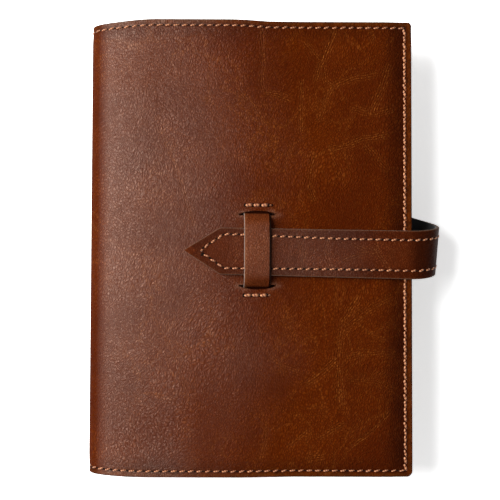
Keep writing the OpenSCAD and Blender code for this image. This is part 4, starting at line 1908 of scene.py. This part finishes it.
@dataclass
class Keeper:
    """The strip that comes up through the two slits and arches over the strap."""

    sizes: PlannerSizes
    wardrobe: Wardrobe
    sewing: Sewing
    rows_across: int = 15
    edge_round: float = 0.4
    bevel: float = 0.45
    row_pitch: float = 3.75
    foot_dark: float = 0.16
    slit_dark: float = 0.8
    foot_dull: float = 0.97

    def _frame(self, points: np.ndarray) -> np.ndarray:
        """Points of the falling stretch's frame, put in place.

        Args:
            points: x along the slope from slope_start, y from the keeper's middle, z square to the leather.

        Returns:
            Points of the planner.
        """
        z = self.sizes
        c, s = math.cos(z.slope_angle), math.sin(z.slope_angle)
        moved = np.empty_like(points)
        moved[..., 0] = z.spine_x + z.slope_start + points[..., 0] * c + points[..., 2] * s
        moved[..., 1] = z.keeper_y + points[..., 1]
        moved[..., 2] = z.front_z - points[..., 0] * s + points[..., 2] * c
        return moved

    def _path(self) -> Grids:
        """Inner and outer face of the strip in the y-z plane, as rounded lines.

        Returns:
            Two arrays of (y, z), point by point opposite each other.
        """
        z = self.sizes
        floor = z.slip / 2 - z.leather_t * math.cos(z.slope_angle)
        arch = z.strap_w / 2 + z.keeper_room
        leg = z.slit_span / 2 - z.slit_gap / 2
        top = z.strap_t + 2 * z.air + z.keeper_t / 2
        tab = floor + z.tab_t / 2
        knots = np.array([
            [0.0, top + 0.12], [arch * 0.55, top + 0.08], [arch - 1.2, top - 0.05],
            [arch + 1.0, top - 0.55], [leg - 1.5, top * 0.42], [leg - 0.35, 0.35], [leg, -0.45],
            [leg + 0.35, tab + 0.02], [leg + 1.6, tab], [z.slit_span / 2 + z.tab_len, tab],
        ])
        arc = run_of(knots)
        fine = np.linspace(0, arc[-1], 61)
        line = np.stack([np.interp(fine, arc, knots[:, k]) for k in (0, 1)], -1)
        for _ in range(6):
            line[1:-1] = (line[:-2] + 2 * line[1:-1] + line[2:]) / 4
            line[0, 1] = line[1, 1]
        line = np.concatenate([line[:0:-1] * [-1, 1], line])
        tangent = np.gradient(line, axis=0)
        tangent /= np.linalg.norm(tangent, axis=1)[:, None]
        normal = np.stack([-tangent[:, 1], tangent[:, 0]], -1)
        thick = look_up(np.abs(line[:, 0]), ((leg - 0.6, z.keeper_t), (leg + 0.8, z.tab_t)))
        half = (thick / 2)[:, None] * normal
        return line - half, line + half

    def build(self) -> None:
        """Makes the strip and its two short rows."""
        z = self.sizes
        low, high = self._path()
        offsets = np.array([0.0, 0.05, 0.15, 0.28, 0.42, 0.9])
        middle = np.linspace(1.8, z.keeper_w - 1.8, self.rows_across)
        across = np.concatenate([offsets, middle, z.keeper_w - offsets[::-1]])
        edge = np.minimum(across, z.keeper_w - across)
        fall = rounded_edge(edge, self.edge_round)
        normal = (high - low) / np.linalg.norm(high - low, axis=1)[:, None]
        outer, inner = (np.empty((len(low), len(across), 3)) for _ in range(2))
        flare = smooth(across, z.keeper_w - 1.6, z.keeper_w)
        faces = ((outer, high, -1.0, -self.bevel), (inner, low, 0.5, 0.55 * self.bevel))
        for face, line, sign, shift in faces:
            face[..., 0] = z.keeper_inset + (across + shift * flare)[None, :]
            face[..., 1:] = line[:, None, :] + sign * (fall[None, :, None] * normal[:, None, :])
        crown = 0.12 * np.sin(np.pi * across / z.keeper_w)
        outer[..., 2] += crown[None, :] * smooth(np.abs(low[:, 0]), 14.0, 8.0)[:, None]
        piece = closed_layer("keeper_strip", self._frame(outer), self._frame(inner))
        margin = np.broadcast_to(edge[None, :], outer.shape[:2])
        right = np.broadcast_to((across > z.keeper_w / 2)[None, :], outer.shape[:2])
        reach = np.broadcast_to(np.abs(low[:, 0])[:, None], outer.shape[:2])
        store_mask(piece, "cut", smooth(margin, 0.35, 0.0) * ~right, 1.0 * ~right)
        store_mask(piece, "edge", 0.5 * smooth(margin, 1.2, 0.4) * ~right)
        # painted shade where the strip bends down into the slits
        dark = self.foot_dark * smooth(reach, 12.0, 15.0) + self.slit_dark * smooth(reach, 16.4, 17.2)
        # painted shadow: the right cut edge, and the inner face behind it, go near black for the shadow
        # beside the strip
        dark = np.maximum(dark, smooth(margin, 0.3, 0.1) * right)
        store_mask(piece, "burnish", dark, 1.0 * right)
        store_mask(piece, "dull", self.foot_dull * smooth(reach, 10.5, 14.5))
        dress(piece, self.wardrobe.keeper, "cover_leather", "keeper")
        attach(piece, "front")
        self._rows()

    def _rows(self) -> None:
        """Three heavy stitches and a short end beyond each slit."""
        z = self.sizes
        aside = z.slit_span / 2 + z.keeper_row_inset
        normal = [math.sin(z.slope_angle), 0.0, math.cos(z.slope_angle)]
        lines, ends = [], []
        for sign, start in ((-1, 0.7), (1, 1.2)):
            full, short = start + 3.05 * self.row_pitch, start + 3.5 * self.row_pitch
            for rows, first, last in ((lines, start, full), (ends, full, short)):
                xs = np.linspace(first, last, 12)
                row = np.stack([xs, 0 * xs + sign * aside, 0 * xs + 0.03], -1)
                rows.append(SewingLine(self._frame(row), np.tile(normal, (len(xs), 1))))
        pitch, rest = self.row_pitch, 0.45 * self.row_pitch
        self.sewing.row(
            "keeper_row", lines,
            StitchSizes(pitch=pitch, length=3.3, width=1.5, arch=0.55, slant=3.0, seed=12),
            StitchSizes(pitch=pitch, length=1.5, width=1.9, arch=0.3, slant=0.0, seed=14),
            lambda piece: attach(piece, "front"), "keeper_thread",
        )
        self.sewing.row(
            "keeper_end", ends,
            StitchSizes(pitch=rest, length=1.3, width=0.9, arch=0.4, slant=3.0, seed=15),
            StitchSizes(pitch=rest, length=1.0, width=1.4, arch=0.3, slant=0.0, seed=16),
            lambda piece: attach(piece, "front"), "keeper_thread",
        )


# ---- strap


@dataclass
class ClosingStrap:
    """The pointed strap, its loop round the fore-edge, its lining and its two rows of sewing."""

    sizes: PlannerSizes
    wardrobe: Wardrobe
    sewing: Sewing
    step: float = 1.1
    loop_steps: int = 60
    edge_round: float = 0.42
    spread: float = 0.2
    shift: float = -0.35
    low_drift: float = 1.7
    row_hollow: float = 0.16
    crown: float = 0.14
    swell: float = 0.05
    dull: Table = (
        (48, 0.88), (70, 0.62), (95, 0.12), (112, 0.0), (128, 0.35), (142, 0.85), (158, 0.95),
    )

    def _half(self, s: np.ndarray) -> np.ndarray:
        """Half the strap's width, with its edge pressed out a little."""
        z = self.sizes
        return z.strap_half(s) + self.spread * smooth(s, z.tip_inset, z.shoulder_s)

    def _row(self, s: np.ndarray, sign: float) -> np.ndarray:
        """Lateral place of the upper (1) or lower (-1) row, which starts as half of an arrow.

        Args:
            s: distances from the spine.
            sign: which row.

        Returns:
            The place at each distance.
        """
        z = self.sizes
        drift = (1.0 if sign > 0 else 0.55) * smooth(s, z.shoulder_s, 130.0)
        full = z.strap_w / 2 - z.strap_border - drift
        return sign * np.minimum(full, 1.3 + (s - self.row_start) * 0.70)

    def _off_row(self, s: np.ndarray, v: np.ndarray) -> np.ndarray:
        """Distance from the nearer row of sewing."""
        return np.minimum(np.abs(v - self._row(s, 1.0)), np.abs(v - self._row(s, -1.0)))

    @property
    def row_start(self) -> float:
        """Where the two rows leave the arrow's tip."""
        return self.sizes.tip_inset + 9.1

    def _stations(self, start: float) -> np.ndarray:
        """Stations of the outer face: s, z, inward s, inward z, how far round the loop.

        Args:
            start: distance of the first one from the spine.

        Returns:
            n by 5 values.
        """
        z = self.sizes
        top = np.linspace(start, z.loop_s, round((z.loop_s - start) / self.step) + 1)
        height = z.front_face(top) + z.air + z.strap_t
        rows = np.stack([top, height, 0 * top, 0 * top - 1, 0 * top], -1)
        share = np.arange(1, self.loop_steps + 1) / self.loop_steps
        turn = share * math.pi
        out = np.stack([np.sin(turn), np.cos(turn)], -1)
        loop = np.concatenate([[z.loop_s, z.loop_z] + z.loop_r * out, -out, share[:, None]], -1)
        return np.concatenate([rows, loop])

    def _place(self, st: np.ndarray, depth: np.ndarray, v: np.ndarray) -> np.ndarray:
        """Points of the strap.

        Args:
            st: stations, n by 5.
            depth: depths below the outer face, n by m.
            v: lateral places, n by m.

        Returns:
            Points, n by m by 3.
        """
        z = self.sizes
        share = st[:, 4:5]
        drift = (z.loop_drift + self.low_drift) * share**1.6
        middle = np.where(share > 0, z.strap_middle(z.cover_w) + drift, z.strap_middle(st[:, :1]))
        points = np.empty((*v.shape, 3))
        lean = z.loop_lean * v * np.sin(np.pi * share)
        points[..., 0] = z.spine_x + st[:, :1] + depth * st[:, 2:3] + lean
        points[..., 1] = middle + self.shift + v
        points[..., 2] = st[:, 1:2] + depth * st[:, 3:4]
        return points

    def _root(self, st: np.ndarray, depth: np.ndarray, v: np.ndarray) -> Grids:
        """Outer and inner points of the root, pared down to lie in the cover's seam.

        Args:
            st: stations of the strap.
            depth: depths of its outer face.
            v: lateral places.

        Returns:
            Two arrays of points, one for each face.
        """
        z = self.sizes
        runs = np.array([z.cover_w + 0.6, z.cover_w - 0.4, z.cover_w - 4.0, z.cover_w - z.root_len])
        thick = np.array([1.0, z.root_t, z.root_t, z.root_t])
        end = self._place(st[-1:], depth[-1:], v[-1:])[0]
        faces = []
        for level in (0.0, 1.0):
            face = np.repeat(end[None], len(runs), 0)
            face[..., 0] = (z.spine_x + runs)[:, None]
            face[..., 2] = z.loop_low_z + 0.02 + level * (thick - 0.04)[:, None]
            faces.append(face)
        return faces[0], faces[1]

    def outer_depth(self, s: np.ndarray, v: np.ndarray, half: np.ndarray) -> np.ndarray:
        """Depth of the face leather: rounded edges, hollow rows and a slight crown.

        Args:
            s: distances from the spine.
            v: lateral places.
            half: half the strap's width.

        Returns:
            The depth at each point.
        """
        edge = half - np.abs(v)
        depth = rounded_edge(np.maximum(edge, 0), self.edge_round)
        hollow = bell(self._off_row(s, v), 0.45) * smooth(s, self.row_start - 1, self.row_start)
        swell = ripple(s, v, 40.0, 12.0, 41) * smooth(edge, 0.5, 3.0)
        return depth + self.row_hollow * hollow - self.crown * smooth(edge, 3.2, 6.5) - self.swell * swell

    def _settle(self, piece: Piece) -> Piece:
        """Bakes the piece's transform into its mesh."""
        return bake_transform(piece)

    def build(self) -> None:
        """Makes the face leather, the lining and the sewing."""
        z = self.sizes
        st = self._stations(z.tip_inset)
        half = self._half(np.minimum(st[:, :1], z.cover_w))
        offsets = np.array([0.0, 0.012, 0.035, 0.07, 0.13, 0.2, 0.26, 0.32])
        unit = np.concatenate([-1 + offsets, np.linspace(-0.6, 0.6, 15), 1 - offsets[::-1]])
        v = half * unit[None, :]
        s = np.minimum(st[:, :1], z.cover_w) + 0 * v
        depth = self.outer_depth(s, v, half)
        depth = np.maximum(depth, 0.55 * smooth(st[:, :1], z.tip_inset + 0.5, z.tip_inset))
        outer = self._place(st, depth, v)
        inner = self._place(st, np.full_like(v, z.strap_face_t), v)
        root_out, root_in = self._root(st, depth, v)
        outer, inner = np.concatenate([outer, root_out]), np.concatenate([inner, root_in])
        piece = closed_layer("strap_leather", outer, inner)
        share = st[:, 4:5]
        creased, offset = crease_field(s, v, STRAP_CREASES)
        outside = smooth(np.abs(v) - np.abs(self._row(s, 1.0)), 0.2, 1.2)
        # painted shade where the strap turns round the loop, away from the light
        far = smooth(st[:, :1], z.loop_s - 6.0, z.loop_s + 2.0)
        # darker outside the rows, with painted shade round the loop and in the rows' grooves; the root
        # takes the loop's value
        dark = np.maximum(np.maximum(0.3 * outside, 0.62 * far), 0.5 * bell(self._off_row(s, v), 0.7))
        edge = half - np.abs(v) + 0 * v
        # Each mask on the strap, and its value on the root
        masks = {
            "dull": (look_up(s, self.dull) * smooth(share, 0.7, 0.2), 0.0),
            "edge": (0.3 * smooth(edge, 0.8, 0.35), 0.0),
            "burnish": (dark, 0.62),
            "crease": (creased * (share == 0), 0.0),
            "crease_side": (offset, 0.0),
        }
        root = np.ones(root_out.shape[:2])
        for name, (values, on_root) in masks.items():
            store_mask(piece, name, np.concatenate([values, on_root * root]))
        store_mask(piece, "cut", np.concatenate([smooth(edge, 0.32, 0.0), 0 * root]), 1.0)
        dress(piece, self.wardrobe.strap, "strap_leather", "strap")
        self._settle(piece)
        self._lining(st, half, unit)
        self._rows()

    def _lining(self, st: np.ndarray, half: np.ndarray, unit: np.ndarray) -> None:
        """The black lining glued behind the strap.

        Args:
            st: stations of the strap.
            half: half the strap's width.
            unit: lateral places as shares of that half.
        """
        z = self.sizes
        v = (half - 0.25) * unit[None, ::2]
        faces = [self._place(st, np.full_like(v, d), v) for d in (z.strap_face_t + 0.01, z.strap_t)]
        piece = closed_layer("strap_lining_cloth", faces[1], faces[0])
        dress(piece, self.wardrobe.lining, "lining", "strap_lining")
        self._settle(piece)

    def _rows(self) -> None:
        """Two rows along the strap that meet in an arrow at its point."""
        z = self.sizes
        st = self._stations(self.row_start)
        st = st[st[:, 4] < 0.86]
        s = np.minimum(st[:, :1], z.cover_w)
        half = self._half(s)
        lines = []
        for sign in (-1.0, 1.0):
            v = self._row(s, sign)
            points = self._place(st, self.outer_depth(s, v, half) + 0.02, v)[:, 0]
            normals = np.stack([-st[:, 2], 0 * st[:, 0], -st[:, 3]], -1)
            lines.append(SewingLine(points, normals))
        tips = np.linspace(-1.9, 1.9, 6)[None, :]
        points = self._place(st[:1], 0 * tips + 0.02, tips)[0] - [0.6, 0.0, 0.0]
        lines.append(SewingLine(points, np.tile([0.0, 0.0, 1.0], (6, 1))))
        self.sewing.row(
            "strap_row", lines,
            StitchSizes(pitch=3.85, length=2.75, width=0.95, arch=0.40, slant=14.0, uneven=8.0, seed=21),
            StitchSizes(pitch=3.85, length=1.7, width=1.35, arch=0.28, slant=0.0, seed=22),
            self._settle, "strap_thread",
        )


# ---- insert


@dataclass
class PageBlock:
    """The insert's pages, with rounded corners and a printed first page."""

    sizes: PlannerSizes
    effects: SharedEffects
    corner: float = 4.0

    @staticmethod
    def _face(lines: Stations, depth: np.ndarray, xs: np.ndarray) -> np.ndarray:
        """Height of one face of the block.

        Args:
            lines: stations of the cover beside that face.
            depth: depth of the face at each station.
            xs: places across the block.

        Returns:
            The height at each place.
        """
        faces = lines.base + depth[:, None] * lines.inward
        return np.interp(xs, faces[:, 0], faces[:, 1])

    def build(self) -> None:
        """Makes the block as a closed layer between its lower and upper face."""
        z = self.sizes
        section = CoverSection(z)
        low = z.card_d + z.card_t
        slope = [z.sleeve_start - 0.31, z.sleeve_start - 0.29]
        xs = np.unique(np.concatenate([np.linspace(z.pages_inset, z.pages_end, 96), slope]))
        lines = section.stations(Side.FRONT, 0, z.pages_end, 1.6, [z.sleeve_start - 0.3])
        bare = lines.s < z.sleeve_start - z.air
        upper = self._face(lines, np.where(bare, low + z.air, z.inner_d + z.air), xs)
        lines = section.stations(Side.BACK, 0, z.pages_end, 0.8)
        bare = lines.s < z.sleeve_start - z.air
        lower = self._face(lines, np.where(bare, low, z.inner_d), xs) + z.slip
        half = z.pages_l / 2
        inset = np.clip(xs - (z.pages_end - self.corner), 0, self.corner)
        reach = half - self.corner + np.sqrt(np.maximum(self.corner**2 - inset**2, 0.01))
        across = np.concatenate([[-1, -0.999], np.linspace(-0.97, 0.97, 60), [0.999, 1]])
        ys = reach[:, None] * across[None, :]
        soft = 0.12 * (np.abs(across) > 0.9985)
        outer, inner = (np.empty((*ys.shape, 3)) for _ in range(2))
        for face, level, sign in ((outer, upper, -1.0), (inner, lower, 1.0)):
            face[..., 0] = z.spine_x + xs[:, None]
            face[..., 1] = ys
            face[..., 2] = level[:, None] + sign * soft[None, :]
        piece = closed_layer("page_stack", outer, inner, 30.0)
        finish = PageFinish("page_paper").build(
            self.effects, z.spine_x + z.pages_inset, z.spine_x + z.pages_end, z.pages_l / 2
        )
        dress(piece, finish, "paper", "page_block")
        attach(piece, "back")


# ---- studio


@dataclass(frozen=True)
class Lamp:
    """One soft lamp: place, aim, size in metres and power in watts."""

    name: str
    place: Point
    aim: Point
    size: tuple[float, float]
    power: float


@dataclass
class Studio:
    """Camera, lamps, floor and background."""

    camera_place: Point = (-0.00815, -0.0114, 0.3962)
    camera_turn: Point = (0.0278, -0.0014, 0.0031)
    lens: float = 54.50
    surround: float = 0.42
    floor_half: float = 3000.0
    floor_low: float = -0.12
    floor_tone: tuple[float, float] = (0.84, 0.86)
    floor_glow: float = 0.46
    lamps: tuple[Lamp, ...] = (
        Lamp("window", (-0.60, 0.17, 0.58), (-0.02, 0.0, 0.02), (0.50, 0.60), 10.4),
    )

    def build(self) -> None:
        """Sets everything up."""
        self._camera()
        self._world()
        for lamp in self.lamps:
            self._lamp(lamp)
        self._floor()
        bpy.context.scene.view_settings.view_transform = "Standard"

    def _camera(self) -> None:
        """The camera at the photograph's viewing angle."""
        data = bpy.data.cameras.new("camera")
        data.sensor_width, data.lens = 36.0, self.lens
        data.clip_start, data.clip_end = 0.01, 20.0
        camera = in_scene("camera", data)
        camera.location, camera.rotation_euler = self.camera_place, self.camera_turn
        bpy.context.scene.camera = camera

    def _world(self) -> None:
        """White to the camera; a grey surround, dark overhead, to everything else."""
        world = bpy.data.worlds.new("surround")
        world.use_nodes = True
        bpy.context.scene.world = world
        g = Graph(world.node_tree)
        ray = g.add("ShaderNodeLightPath").outputs["Is Camera Ray"]
        background = world.node_tree.nodes["Background"]
        axes = g.feed(g.add("ShaderNodeSeparateXYZ"), _0=g.add("ShaderNodeTexCoord").outputs["Generated"])
        grey = g.ramp(axes.outputs[2], 0.92, 0.55, 0.0, self.surround)
        strength = g.math("MAXIMUM", ray, grey)
        g.feed(background, Color=(1.0, 1.0, 1.0, 1.0), Strength=strength)

    def _lamp(self, lamp: Lamp) -> None:
        """One area lamp aimed at a point.

        Args:
            lamp: the lamp's values.
        """
        data = bpy.data.lights.new(lamp.name, "AREA")
        data.shape, data.size, data.size_y, data.energy = "RECTANGLE", *lamp.size, lamp.power
        light = in_scene(lamp.name, data)
        light.location = lamp.place
        light.rotation_euler = (Vector(lamp.aim) - Vector(lamp.place)).to_track_quat("-Z", "Y").to_euler()

    def _floor(self) -> None:
        """A wide pale floor that keeps the shadow and is white where nothing shades it."""
        half, low = self.floor_half, self.floor_low
        corners = np.array([[-half, -half, low], [half, -half, low], [half, half, low], [-half, half, low]])
        floor = make_object("studio_floor", corners, [[0, 1, 2, 3]])
        material = bpy.data.materials.new("studio_floor")
        material.use_nodes = True
        g = Graph(material.node_tree)
        shader = g.tree.nodes["Principled BSDF"]
        path = g.add("ShaderNodeLightPath").outputs
        to_camera = path["Is Camera Ray"]
        mirrored = g.math("MAXIMUM", path["Is Glossy Ray"], path["Is Transmission Ray"])
        glow = g.times(g.math("MAXIMUM", to_camera, mirrored), self.floor_glow)
        plain, lift = self.floor_tone
        tone = g.plus(plain, g.times(to_camera, lift))
        pale = g.feed(g.add("ShaderNodeCombineXYZ"), _0=tone, _1=tone, _2=tone).outputs[0]
        g.feed(shader, Base_Color=pale, Roughness=1.0, Specular_IOR_Level=0.0)
        g.feed(shader, Emission_Color=(1.0, 1.0, 1.0, 1.0), Emission_Strength=glow)
        under = g.add("ShaderNodeNewGeometry").outputs["Backfacing"]
        clear = g.add("ShaderNodeBsdfTransparent")
        mixed = g.feed(g.add("ShaderNodeMixShader"), _0=under, _1=shader.outputs[0], _2=clear.outputs[0])
        g.feed(g.tree.nodes["Material Output"], Surface=mixed.outputs[0])
        floor.data.materials.append(material)


def main() -> None:
    """Builds the planner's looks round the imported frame."""
    logging.basicConfig(level=logging.INFO, format="%(name)s: %(message)s")
    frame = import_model()
    sizes = PlannerSizes()
    effects = SharedEffects()
    wardrobe = Wardrobe.make(effects)
    sewing = Sewing(wardrobe)
    Studio().build()
    Cover(sizes, wardrobe, sewing).build()
    Keeper(sizes, wardrobe, sewing).build()
    ClosingStrap(sizes, wardrobe, sewing).build()
    PageBlock(sizes, effects).build()
    tape = frame["nodes"]["spine_tape"]
    tape.data.materials.clear()
    tape.data.materials.append(wardrobe.tape)


if __name__ == "__main__":
    main()
